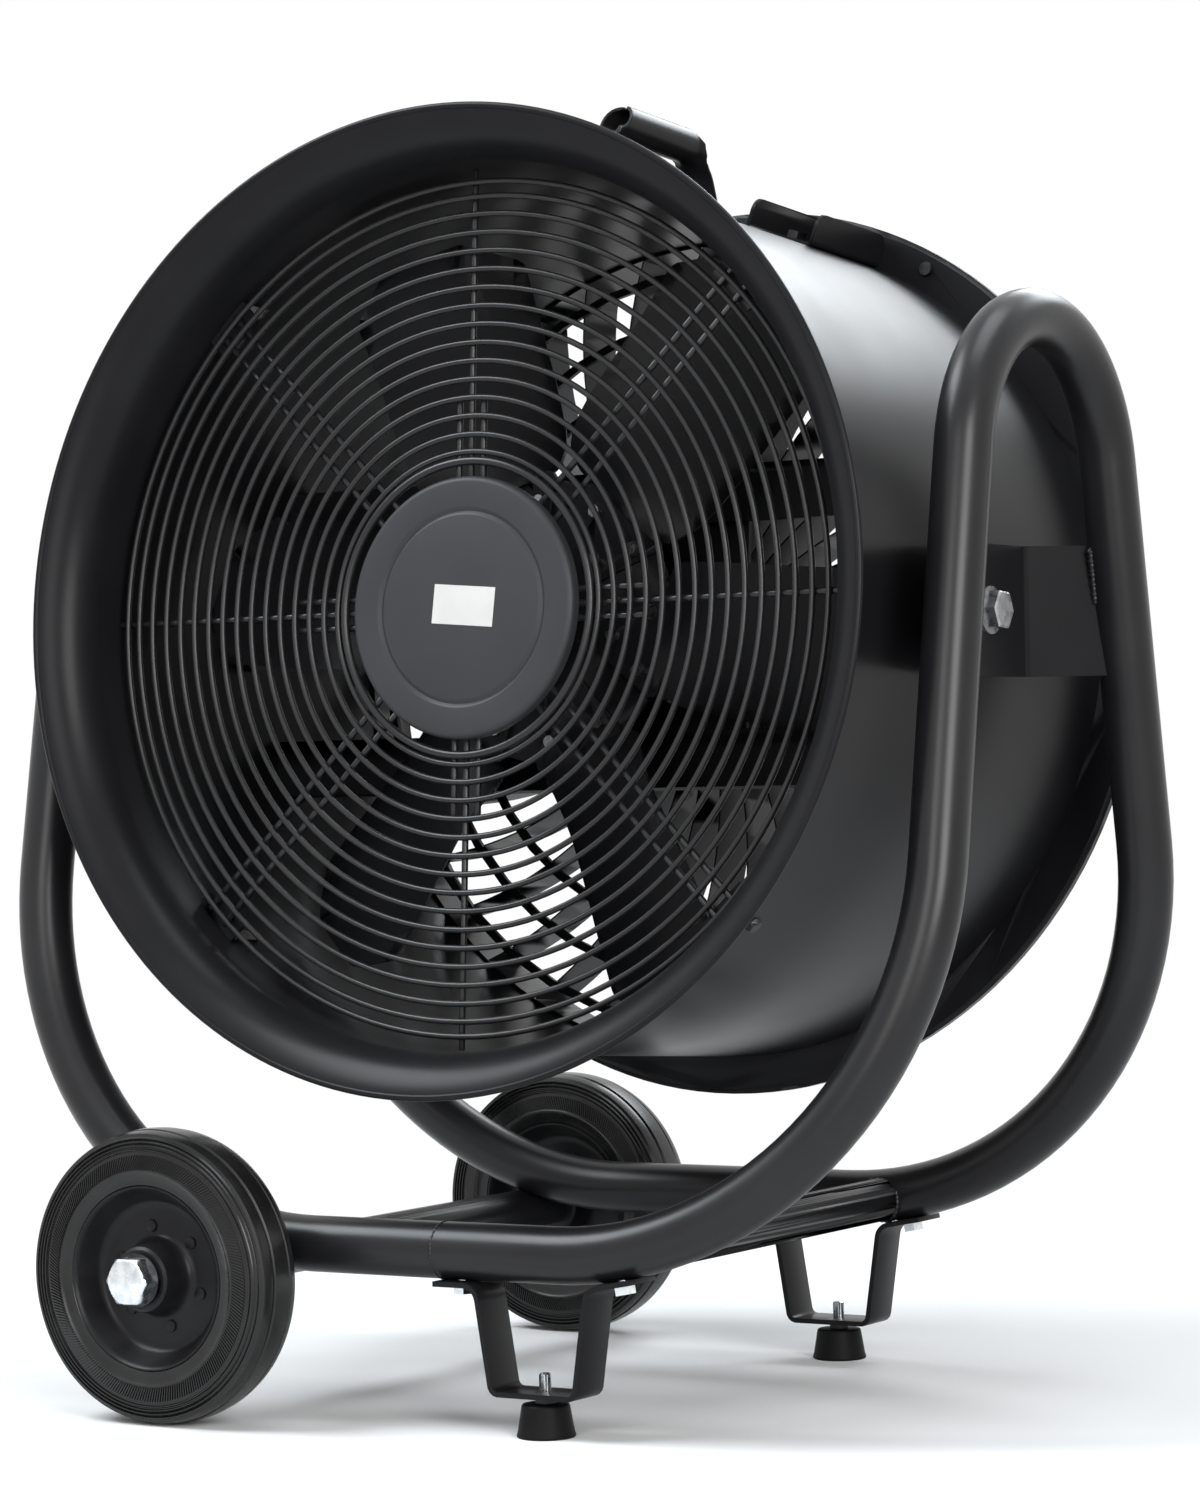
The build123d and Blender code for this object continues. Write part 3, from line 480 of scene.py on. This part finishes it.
def make_mouth():
    """Mouth with a short straight throat, a wide round flare and a rolled hem."""
    bend = (MOUTH_RADIUS - HEM_SEAT - DRUM_RADIUS) / (1 - cos(radians(FLARE_TURN)))
    start = FRONT + HEM_SEAT + bend * sin(radians(FLARE_TURN))
    flare = [(DRUM_RADIUS, THROAT)]
    flare += arc((DRUM_RADIUS + bend, start), bend, 180, 180 + FLARE_TURN, 20)
    lip = (flare[-1][0] + 0.2 * MM, flare[-1][1])
    hem = arc(lip, HEM_WIRE, 200, 200 + 300, 12)
    piece = lathe("flared_mouth", flare, ROUND)
    thicken(piece, SHEET, 1.0)
    bead = lathe("hem", hem, ROUND)
    fill_ring(bead)
    piece = merge([piece, bead], "flared_mouth")
    smooth(piece, 50)
    settle(piece, DRUM_PLACE)
    return dress(piece, DRUM_PAINT, "drum", "drum_paint", "bell_mouth")


def fill_ring(piece):
    """Bridge the two open loops of a bead, so that it closes on itself."""
    open_mesh(piece, "EDGE")
    bpy.ops.mesh.select_all(action="DESELECT")
    bpy.ops.mesh.select_non_manifold()
    bpy.ops.mesh.bridge_edge_loops()
    close_mesh()


def ring_wire(radius, station, wire, section=10):
    """One round wire bent into a hoop; the butt weld of its ends is not drawn."""
    clear_selection()
    bpy.ops.mesh.primitive_torus_add(
        major_radius=radius,
        minor_radius=wire,
        major_segments=128,
        minor_segments=section,
        location=(0, station, 0),
        rotation=(pi / 2, 0, 0),
    )
    piece = named("hoop")
    settle(piece)
    return piece


def rod(inner, outer, offset, wire, station):
    """Straight wire along +X with domed ends, its middle offset towards +Z."""
    clear_selection()
    bpy.ops.mesh.primitive_cylinder_add(
        vertices=10,
        radius=wire,
        depth=outer - inner,
        location=((inner + outer) / 2, station, offset),
        rotation=(0, pi / 2, 0),
    )
    piece = named("rod")
    settle(piece)
    round_edges(piece, wire * 0.45, 2, 60)
    return piece


def make_guard_rings():
    """Round wire hoops, the innermost thicker and set a little forward."""
    hoops = [ring_wire(COLLAR_RADIUS, RING_STATION - 0.4 * MM, COLLAR_WIRE, 12)]
    for radius in RING_RADII:
        hoops.append(ring_wire(radius, RING_STATION, RING_WIRE))
    piece = merge(hoops, "guard_hoops")
    smooth(piece, 60)
    settle(piece, DRUM_PLACE)
    return dress(piece, GUARD_PAINT, "drum", "guard_paint", "guard_rings")


def make_guard_spokes():
    """Single long rods with two short ones beside them, and slanting pairs between."""
    rods = []
    for quarter in range(4):
        turn = about_drum(quarter * pi / 2)
        slant = about_drum(quarter * pi / 2 + pi / 4)
        wires = [(LONG_SPOKE, 0, turn)]
        wires += [(SHORT_SPOKE, -SHORT_GAP, turn), (SHORT_SPOKE, SHORT_GAP, turn)]
        wires += [(SLANT_SPOKE, -SLANT_GAP, slant), (SLANT_SPOKE, SLANT_GAP, slant)]
        for outer, offset, way in wires:
            piece = rod(SPOKE_INNER, outer, offset, SPOKE_WIRE, SPOKE_STATION)
            piece.data.transform(way)
            rods.append(piece)
    piece = merge(rods, "guard_rods")
    smooth(piece, 60)
    settle(piece, DRUM_PLACE)
    return dress(piece, GUARD_PAINT, "drum", "guard_paint", "guard_spokes")


def make_cap():
    """Pressed cap: rounded rim, and a shallow pressed ring round a flat middle."""
    rim = arc((CAP_RADIUS - CAP_EDGE, CAP_FACE + CAP_EDGE), CAP_EDGE, 0, -90, 8)
    profile = [(CAP_RADIUS, RING_STATION + RING_WIRE)] + rim
    pressed = in_mm((3.0, 0), (2.2, 0.2), (1.2, 1.3), (0, 1.8))
    pressed += in_mm((-1.2, 1.3), (-2.2, 0.3), (-3.0, 0.1))
    profile += [(CAP_GROOVE + out, CAP_FACE + deep) for out, deep in pressed]
    profile.append((CAP_FLAT, CAP_FACE + 0.1 * MM))
    piece = lathe("cap", profile, 128)
    open_mesh(piece)
    bpy.ops.mesh.select_all(action="DESELECT")
    bpy.ops.object.mode_set(mode="OBJECT")
    for vertex in piece.data.vertices:
        vertex.select = sqrt(vertex.co.x ** 2 + vertex.co.z ** 2) < CAP_FLAT + MM
    bpy.ops.object.mode_set(mode="EDIT")
    bpy.ops.mesh.edge_face_add()
    close_mesh()
    thicken(piece, SHEET)
    smooth(piece, 40)
    settle(piece, DRUM_PLACE)
    return dress(piece, CAP_PAINT, "drum", "cap_paint", "hub_cap")


def make_label():
    """Plain paper label stuck to the cap's face."""
    clear_selection()
    bpy.ops.mesh.primitive_cube_add(size=1, location=LABEL_PLACE)
    piece = named("blank_label")
    piece.scale = LABEL_SIZE
    piece.rotation_euler = (0, LABEL_TURN, 0)
    settle(piece)
    round_edges(piece, 0.1 * MM, 1)
    smooth(piece, 30)
    settle(piece, DRUM_PLACE)
    return dress(piece, LABEL_PAPER, "drum", "cap_paint")


# ---- handle ----
def rounded_path(corners, radii, steps=8):
    """Points along a bent line, its corners turned with the given radii."""
    points = [Vector(corners[0])]
    for before, corner, after, radius in zip(corners, corners[1:], corners[2:], radii):
        corner = Vector(corner)
        back = (Vector(before) - corner).normalized()
        ahead = (Vector(after) - corner).normalized()
        half = back.angle(ahead) / 2
        reach = radius / tan(half)
        centre = corner + (back + ahead).normalized() * (radius / sin(half))
        first = corner + back * reach - centre
        last = corner + ahead * reach - centre
        for step in range(steps + 1):
            points.append(centre + (first * (steps - step) + last * step).normalized() * radius)
    points.append(Vector(corners[-1]))
    return points


def spaced(points, count):
    """As many points again, evenly spaced along the line, each with its direction."""
    lengths = [0.0]
    for first, second in zip(points, points[1:]):
        lengths.append(lengths[-1] + (second - first).length)
    found = []
    for index in range(count + 1):
        goal = lengths[-1] * index / count
        part = max(0, min(len(points) - 2, sum(1 for length in lengths if length <= goal) - 1))
        share = (goal - lengths[part]) / (lengths[part + 1] - lengths[part])
        along = (points[part + 1] - points[part]).normalized()
        found.append((points[part].lerp(points[part + 1], share), along))
    return found


def ease(value):
    """0 to 1 with a soft start and end."""
    value = max(0.0, min(1.0, value))
    return value * value * (3 - 2 * value)


def make_handle():
    """Strap whose wide middle is curled up and over into a tube, bent down at both ends."""
    corners = [
        (GRIP_FROM - HANDLE_TAIL, HANDLE_SEAT),
        (GRIP_FROM - HANDLE_HEEL, HANDLE_SEAT),
        (GRIP_FROM - 3 * MM, GRIP_BOTTOM),
        (GRIP_TO + 15 * MM, GRIP_BOTTOM),
        (GRIP_TO + HANDLE_HEEL, HANDLE_SEAT),
        (GRIP_TO + HANDLE_TAIL, HANDLE_SEAT),
    ]
    along, across = 160, 30
    places = spaced(rounded_path(corners, HANDLE_BENDS), along)
    clear_selection()
    bpy.ops.mesh.primitive_grid_add(x_subdivisions=along, y_subdivisions=across, size=1)
    piece = named("handle")
    for vertex in piece.data.vertices:
        place, ahead = places[round((vertex.co.x + 0.5) * along)]
        front = ease((place.x - GRIP_FROM - 8 * MM) / (20 * MM))
        back = ease((GRIP_TO + 12 * MM - place.x) / (20 * MM))
        wing = radians(WING_OPEN + WING_CURL * min(front, back))
        low = place.y < HANDLE_SEAT + 15 * MM
        flat = 1.0 if low else ease(abs(ahead.y) / 0.75)
        curl = max(2 * wing * (1 - flat), radians(3))
        radius = 2 * wing * GRIP_RADIUS / curl
        turn = vertex.co.y * curl
        rise = min(radius * (1 - cos(turn)), 2 * GRIP_RADIUS)
        vertex.co = (radius * sin(turn), place.x - ahead.y * rise, place.y + ahead.x * rise)
    open_mesh(piece)
    close_mesh()
    thicken(piece, HANDLE_SHEET, 0.0)
    round_edges(piece, 0.5 * MM, 2, 50)
    smooth(piece, 40)
    settle(piece, DRUM_PLACE)
    return dress(piece, DRUM_PAINT, "drum", "drum_paint", "top_handle")


# ---- weld beads ----
def bead_ring(centre, axis, radius, size, count):
    """Row of small overlapping dabs round a joint, as a hand weld leaves them."""
    clear_selection()
    bpy.ops.mesh.primitive_torus_add(
        major_radius=radius, minor_radius=size, major_segments=count * 4, minor_segments=8
    )
    piece = named("bead")
    for vertex in piece.data.vertices:
        angle = atan2(vertex.co.y, vertex.co.x)
        ripple = 1 + 0.22 * sin(angle * count)
        out = Vector((vertex.co.x, vertex.co.y, 0)).normalized() * radius
        vertex.co = out + (vertex.co - out) * ripple
    turn = Vector((0, 0, 1)).rotation_difference(Vector(axis)).to_matrix().to_4x4()
    settle(piece, Matrix.Translation(Vector(centre)) @ turn)
    return piece


def make_seams():
    """Ground butt welds where the two bent tubes meet."""
    seams = []
    for place in ((SEAM_FRONT, -BASE_SPREAD, BASE_HEIGHT), (SEAM_BACK, BASE_SPREAD, BASE_HEIGHT)):
        seams.append(bead_ring(place, (1, 0, 0), TUBE_RADIUS - 0.5 * MM, SEAM_SIZE, 40))
    piece = merge(seams, "tube_seams")
    smooth(piece, 60)
    return dress(piece, FRAME_PAINT, "frame", "frame_paint")


def make_plate_welds():
    """Stitch welds where the wings of the pivot plates meet the legs."""
    beads = []
    for side in (-1, 1):
        for end, reach, middle in PLATE_JOINTS:
            lean = Vector((0, -end * sin(LEG_LEAN), cos(LEG_LEAN)))
            foot = Vector((side * reach, end * middle, PIVOT.z))
            for low, high in STITCH_RUNS:
                beads.append(stitch(foot + lean * low, foot + lean * high, STITCH_SIZE))
    piece = merge(beads, "plate_welds")
    smooth(piece, 60)
    return dress(piece, FRAME_PAINT, "frame", "frame_paint")


def stitch(start, end, size):
    """One straight run of weld: a round bar pinched into overlapping dabs."""
    length = (end - start).length
    clear_selection()
    bpy.ops.mesh.primitive_cylinder_add(vertices=10, radius=size, depth=length)
    piece = named("stitch")
    open_mesh(piece, "EDGE")
    bpy.ops.mesh.select_all(action="DESELECT")
    bpy.ops.object.mode_set(mode="OBJECT")
    for edge in piece.data.edges:
        first, second = (piece.data.vertices[index].co for index in edge.vertices)
        edge.select = abs(first.z - second.z) > length / 2
    bpy.ops.object.mode_set(mode="EDIT")
    bpy.ops.mesh.subdivide(number_cuts=max(8, int(length / (0.8 * MM))))
    close_mesh()
    for vertex in piece.data.vertices:
        wave = 1 + 0.24 * sin(vertex.co.z / (3.2 * MM) * 2 * pi)
        wave += 0.10 * sin(vertex.co.z / (7.3 * MM) * 2 * pi)
        tip = min(1.0, 0.45 + (length / 2 - abs(vertex.co.z)) / (3 * MM))
        vertex.co.x *= wave * tip
        vertex.co.y *= wave * tip
    turn = Vector((0, 0, 1)).rotation_difference(end - start).to_matrix().to_4x4()
    settle(piece, Matrix.Translation((start + end) / 2) @ turn)
    return piece


def make_brace_welds():
    """Beads round the ends of the brace, saddled over the lower runs."""
    beads = []
    for end in (-1, 1):
        piece = bead_ring((0, 0, 0), (0, 1, 0), BRACE_RADIUS + 0.3 * MM, BRACE_BEAD, 26)
        for vertex in piece.data.vertices:
            inside = max(0.0, TUBE_RADIUS ** 2 - vertex.co.z ** 2)
            vertex.co.y += end * (BASE_SPREAD - sqrt(inside) - 0.6 * MM)
            vertex.co.x += BRACE_X
            vertex.co.z += BASE_HEIGHT
        beads.append(piece)
    piece = merge(beads, "brace_welds")
    smooth(piece, 60)
    return dress(piece, FRAME_PAINT, "frame", "frame_paint")


# ---- feet ----
def make_strap(end, name, *nodes):
    """Flat bar folded like a hat: two flanges under the tube, two legs and a drilled base."""
    corners = [
        (FOOT_X - STRAP_REACH, STRAP_INNER),
        (FOOT_X - STRAP_MOUTH, STRAP_INNER),
        (FOOT_X - STRAP_BASE, STRAP_LOW),
        (FOOT_X + STRAP_BASE, STRAP_LOW),
        (FOOT_X + STRAP_MOUTH, STRAP_CORNER),
        (FOOT_X + STRAP_REACH, STRAP_OUTER),
    ]
    along = 110
    places = spaced(rounded_path(corners, STRAP_BENDS), along)
    clear_selection()
    bpy.ops.mesh.primitive_grid_add(x_subdivisions=along, y_subdivisions=2, size=1)
    piece = named(name)
    for vertex in piece.data.vertices:
        place = places[round((vertex.co.x + 0.5) * along)][0]
        vertex.co = (place.x, end * BASE_SPREAD + vertex.co.y * STRAP_WIDTH, place.y)
    open_mesh(piece)
    close_mesh()
    thicken(piece, STRAP_SHEET, 0.0)
    middle = (FOOT_X, end * BASE_SPREAD, STRAP_LOW)
    clear_selection()
    bpy.ops.mesh.primitive_cylinder_add(
        vertices=48, radius=STUD_HOLE, depth=20 * MM, location=middle
    )
    drill = named("drill")
    take(piece)
    hole = piece.modifiers.new("hole", "BOOLEAN")
    hole.operation = "DIFFERENCE"
    hole.object = drill
    bpy.ops.object.modifier_apply(modifier=hole.name)
    bpy.data.objects.remove(drill)
    round_edges(piece, 0.5 * MM, 2, 50)
    smooth(piece, 40)
    settle(piece)
    return dress(piece, DRUM_PAINT, "frame", "frame_paint", *nodes)


def make_foot(end, name, body, *nodes):
    """Moulded rubber cone with a rounded shoulder and a small lip at the floor."""
    shoulder = in_mm((14.2, 21.9), (15.2, 21.6), (15.8, 20.9), (16.0, 20.0))
    lip = in_mm((18.6, 4.4), (19.2, 2.4), (19.5, 1.4), (19.2, 0.5), (18.4, 0.0))
    profile = [(FOOT_BORE, FOOT_TOP)] + shoulder + lip + [(FOOT_BORE, 0.0)]
    piece = lathe(name, profile, 64)
    fill_ends(piece)
    smooth(piece, 40)
    turn = Matrix.Rotation(pi / 2, 4, "X")
    settle(piece, Matrix.Translation((FOOT_X, end * BASE_SPREAD, 0)) @ turn)
    return dress(piece, FOOT_RUBBER, body, "foot_rubber", *nodes)


# ---- wheels ----
def make_tyre(end, name, body, *nodes):
    """Solid tyre: smooth inner ring, knurled band, fine ridges and a grooved tread."""
    wall = in_mm((62.6, 2.4), (63.0, 1.9), (65.0, 1.7), (69.6, 1.4), (71.2, 0.5), (72.0, 0.1))
    wall += in_mm((73, 0.6), (83.5, 2.4), (84.6, 2.9))
    for ridge in range(4):
        inner = 85.5 + 2.6 * ridge
        drop = 1.7 + 0.15 * ridge * ridge
        wall += in_mm((inner, 1.2 + drop), (inner + 0.6, 0.1 + drop))
        wall += in_mm((inner + 1.3, 0.1 + drop), (inner + 1.9, 1.2 + drop))
    tread = in_mm((97.2, 5.0), (98.6, 9.0), (98.9, 12.0), (97.9, 12.8), (97.9, 14.0), (99.6, 14.8))
    profile = [(radius, deep - TYRE_HALF) for radius, deep in wall + tread]
    profile.append((WHEEL_RADIUS, 0))
    other = [(radius, -station) for radius, station in reversed(profile[:-1])]
    piece = lathe(name, profile + other, 240)
    fill_ring(piece)
    knurl(piece)
    smooth(piece, 30)
    turn = Matrix.Rotation(0 if end < 0 else pi, 4, "Z")
    settle(piece, Matrix.Translation((WHEEL_X, end * WHEEL_Y, WHEEL_RADIUS)) @ turn)
    return dress(piece, TYRE_RUBBER, body, "tyre_rubber", *nodes)


def knurl(piece):
    """Slanted ribs round both side walls: each face of the band is skewed and raised."""
    for vertex in piece.data.vertices:
        if sqrt(vertex.co.x ** 2 + vertex.co.z ** 2) > (KNURL_FROM + KNURL_TO) / 2:
            vertex.co = Matrix.Rotation(KNURL_SKEW, 3, "Y") @ vertex.co
    open_mesh(piece, "FACE")
    bpy.ops.mesh.select_all(action="DESELECT")
    bpy.ops.object.mode_set(mode="OBJECT")
    for face in piece.data.polygons:
        reach = sqrt(face.center.x ** 2 + face.center.z ** 2)
        in_band = KNURL_FROM + MM < reach < KNURL_TO - MM
        face.select = in_band and abs(face.normal.y) > 0.8
    bpy.ops.object.mode_set(mode="EDIT")
    bpy.ops.mesh.select_mode(type="FACE")
    bpy.ops.mesh.inset(thickness=KNURL_GAP, depth=0.0, use_individual=True)
    bpy.ops.mesh.inset(thickness=KNURL_SLOPE, depth=KNURL_HEIGHT, use_individual=True)
    close_mesh()


def make_disc(end, name, body, *nodes):
    """Pressed wheel disc: rolled rim, deep dish, riveted flat and a tube for a hub."""
    rim = in_mm((62.5, 0), (62.5, -17.0), (62.5, -19.4), (62.1, -20.2), (61.0, -20.4))
    dish = in_mm((60.1, -19.6), (59.0, -17.6), (56.0, -12.0), (52.5, -6.0), (50.5, -3.6))
    flat = in_mm((48.0, -2.6), (45.0, -2.4), (30.5, -2.4), (28.0, -3.0), (25.5, -5.0))
    hub = in_mm((24.2, -8.0), (23.2, -12.0), (22.8, -22.0), (22.0, -24.5), (20.0, -26.0))
    profile = rim + dish + flat + hub + [(HUB_BORE, -HUB_HALF), (HUB_BORE, 0)]
    other = [(radius, -station) for radius, station in reversed(profile[1:-1])]
    piece = lathe(name, profile + other, 128)
    fill_ring(piece)
    rivets = []
    for step in range(RIVETS):
        for side in (-1, 1):
            rivets.append(rivet(radians(42 + 360 / RIVETS * step), side))
    piece = merge([piece] + rivets, name)
    smooth(piece, 35)
    turn = Matrix.Rotation(0 if end < 0 else pi, 4, "Z")
    settle(piece, Matrix.Translation((WHEEL_X, end * WHEEL_Y, WHEEL_RADIUS)) @ turn)
    return dress(piece, RIM_PAINT, body, "wheel_plastic", *nodes)


def rivet(angle, side):
    """Flat round rivet head standing on the disc."""
    clear_selection()
    bpy.ops.mesh.primitive_cylinder_add(
        vertices=24, radius=RIVET_RADIUS, depth=RIVET_HEAD + 0.4 * MM, rotation=(pi / 2, 0, 0)
    )
    piece = named("rivet")
    station = side * (DISC_HALF + RIVET_HEAD / 2 - 0.1 * MM)
    piece.location = (RIVET_CIRCLE * cos(angle), station, RIVET_CIRCLE * sin(angle))
    settle(piece)
    round_edges(piece, 0.6 * MM, 2, 60)
    return piece


# ---- carried pieces ----
# Each CAD node that keeps its shape: material, body, slot and smoothing angle
CARRIED = {
    "frame_tube_left": (FRAME_PAINT, "frame", "frame_paint", 40),
    "frame_tube_right": (FRAME_PAINT, "frame", "frame_paint", 40),
    "axle_tube": (FRAME_PAINT, "frame", "frame_paint", 40),
    "brace_tube": (FRAME_PAINT, "frame", "frame_paint", 40),
    "axle_bushes": (TURNED_STEEL, "frame", "bare_steel", 35),
    "axle_bolts": (ZINC, "frame", "zinc", 35),
    "axle_washers": (BLACK_SCREW, "frame", "zinc", 35),
    "bracket_bolts": (ZINC, "frame", "zinc", 35),
    "lock_nuts": (BLACK_SCREW, "frame", "zinc", 35),
    "pivot_plates": (DRUM_PAINT, "frame", "frame_paint", 30),
    "foot_stud_front": (ZINC, "foot_front", "zinc", 35),
    "foot_stud_back": (ZINC, "foot_back", "zinc", 35),
    "pivot_bosses": (DRUM_PAINT, "drum", "drum_paint", 35),
    "pivot_bolts": (DARK_ZINC, "drum", "zinc", 35),
    "pivot_washers": (DARK_ZINC, "drum", "zinc", 35),
    "back_ring": (DRUM_PAINT, "drum", "drum_paint", 35),
    "drum_screws": (BLACK_SCREW, "drum", "black_screws", 35),
    "guard_tabs": (GUARD_PAINT, "drum", "guard_paint", 35),
    "motor_plate": (VANE_PAINT, "drum", "cap_paint", 35),
    "motor_stator": (BLADE_PAINT, "drum", "motor_paint", 35),
    "vane_band": (DRUM_PAINT, "drum", "drum_paint", 35),
    "back_vanes": (VANE_PAINT, "drum", "guard_paint", 35),
    "back_rings": (VANE_PAINT, "drum", "guard_paint", 35),
    "top_channel": (DRUM_PAINT, "drum", "drum_paint", 35),
    "top_bolts": (BLACK_SCREW, "drum", "black_screws", 35),
    "motor_rotor": (BLADE_PAINT, "impeller", "motor_paint", 35),
    "impeller_plate": (BLADE_PAINT, "impeller", "blade_paint", 35),
    "blades": (BLADE_PAINT, "impeller", "blade_paint", 35),
    "blade_bolts": (DARK_ZINC, "impeller", "blade_screws", 35),
}


def make_carried():
    for name, (material, body, slot, angle) in CARRIED.items():
        piece = carried(name, angle)
        dress(piece, material, body, slot, name)


# ---- stage ----
def seen_directly(tree):
    """1 for the rays that see the studio: the camera's, and those mirrored or let through."""
    path = tree.nodes.new("ShaderNodeLightPath")
    total = path.outputs["Is Camera Ray"]
    for name in ("Is Glossy Ray", "Is Transmission Ray"):
        either = tree.nodes.new("ShaderNodeMath")
        either.operation = "MAXIMUM"
        tree.links.new(total, either.inputs[0])
        tree.links.new(path.outputs[name], either.inputs[1])
        total = either.outputs[0]
    return total


def make_floor():
    """Pale floor that keeps the fan's shadow and fades into the white backdrop."""
    clear_selection()
    bpy.ops.mesh.primitive_plane_add(size=40, location=(0, 0, 0))
    floor = named("floor")
    material = new_material("floor_white", FLOOR_WHITE, 0.9, specular=0.0)
    tree = material.node_tree
    place = node(material, "ShaderNodeTexCoord")
    reach = node(material, "ShaderNodeVectorMath", operation="LENGTH")
    join(material, place, "Object", reach, 0)
    fade = spread(material, reach, "Value", *FLOOR_FADE)
    fade.interpolation_type = "SMOOTHSTEP"
    amount = node(material, "ShaderNodeMath", operation="MULTIPLY")
    join(material, fade, "Result", amount, 0)
    tree.links.new(seen_directly(tree), amount.inputs[1])
    white = node(material, "ShaderNodeEmission")
    mix = node(material, "ShaderNodeMixShader")
    join(material, amount, 0, mix, 0)
    join(material, shader_of(material), 0, mix, 1)
    join(material, white, 0, mix, 2)
    join(material, mix, 0, tree.nodes["Material Output"], 0)
    floor.data.materials.append(material)


def make_world():
    """Even white studio: white where it is seen, softer where it lights."""
    world = bpy.data.worlds.new("studio")
    bpy.context.scene.world = world
    world.use_nodes = True
    tree = world.node_tree
    light = tree.nodes["Background"]
    light.inputs["Color"].default_value = (1, 1, 1, 1)
    light.inputs["Strength"].default_value = WORLD_LIGHT
    seen = tree.nodes.new("ShaderNodeBackground")
    seen.inputs["Color"].default_value = (1, 1, 1, 1)
    mix = tree.nodes.new("ShaderNodeMixShader")
    tree.links.new(seen_directly(tree), mix.inputs[0])
    tree.links.new(light.outputs[0], mix.inputs[1])
    tree.links.new(seen.outputs[0], mix.inputs[2])
    tree.links.new(mix.outputs[0], tree.nodes["World Output"].inputs[0])


def softbox(name, place, width, height, power, colour=(1, 1, 1)):
    """Soft lamp at place, turned to the middle of the fan."""
    data = bpy.data.lights.new(name, "AREA")
    data.color = colour
    data.shape = "RECTANGLE"
    data.size = width
    data.size_y = height
    data.energy = power
    lamp = bpy.data.objects.new(name, data)
    bpy.context.scene.collection.objects.link(lamp)
    lamp.location = place
    lamp.rotation_euler = (FAN_MIDDLE - Vector(place)).to_track_quat("-Z", "Y").to_euler()


def make_lights():
    """Two soft lamps either side of the camera, and three cooler ones high round the fan."""
    softbox("front", (0.7, -3.3, 1.2), 1.2, 1.8, 32)
    softbox("front_right", (2.55, -1.95, 1.3), 1.2, 1.8, 72)
    softbox("high_left", (-1.5, -1.0, 2.5), 1.5, 1.5, 76, COOL)
    softbox("overhead", (0.6, 0.1, 2.9), 1.6, 1.3, 30, COOL)
    softbox("behind", (0.1, 2.5, 2.3), 1.8, 0.8, 38, COOL)


def make_camera():
    """The photograph's viewpoint."""
    level = cos(CAMERA_ELEVATION)
    back = Vector(
        (sin(CAMERA_AZIMUTH) * level, -cos(CAMERA_AZIMUTH) * level, sin(CAMERA_ELEVATION))
    )
    right = Vector((cos(CAMERA_AZIMUTH), sin(CAMERA_AZIMUTH), 0))
    up = back.cross(right)
    turned_right = right * cos(CAMERA_ROLL) + up * sin(CAMERA_ROLL)
    turned_up = up * cos(CAMERA_ROLL) - right * sin(CAMERA_ROLL)
    data = bpy.data.cameras.new("camera")
    data.lens = CAMERA_LENS
    data.sensor_width = 36
    data.shift_x, data.shift_y = CAMERA_SHIFT
    data.clip_end = 100
    camera = bpy.data.objects.new("camera", data)
    bpy.context.scene.collection.objects.link(camera)
    camera.matrix_world = Matrix(
        (
            (turned_right.x, turned_up.x, back.x, CAMERA_PLACE[0]),
            (turned_right.y, turned_up.y, back.y, CAMERA_PLACE[1]),
            (turned_right.z, turned_up.z, back.z, CAMERA_PLACE[2]),
            (0, 0, 0, 1),
        )
    )
    bpy.context.scene.camera = camera


def main():
    make_shell()
    make_mouth()
    make_guard_rings()
    make_guard_spokes()
    make_cap()
    make_label()
    make_handle()
    make_seams()
    make_plate_welds()
    make_brace_welds()
    make_strap(-1, "strap_front", "foot_strap_front")
    make_strap(1, "strap_back", "foot_strap_back")
    make_foot(-1, "foot_front_rubber", "foot_front", "rubber_foot_front")
    make_foot(1, "foot_back_rubber", "foot_back", "rubber_foot_back")
    make_tyre(-1, "tyre_front_rubber", "wheel_front", "tyre_front")
    make_tyre(1, "tyre_back_rubber", "wheel_back", "tyre_back")
    make_disc(-1, "disc_front", "wheel_front", "wheel_disc_front")
    make_disc(1, "disc_back", "wheel_back", "wheel_disc_back")
    make_carried()
    make_floor()
    make_world()
    make_lights()
    make_camera()
    bpy.context.scene.view_settings.view_transform = "Standard"


main()
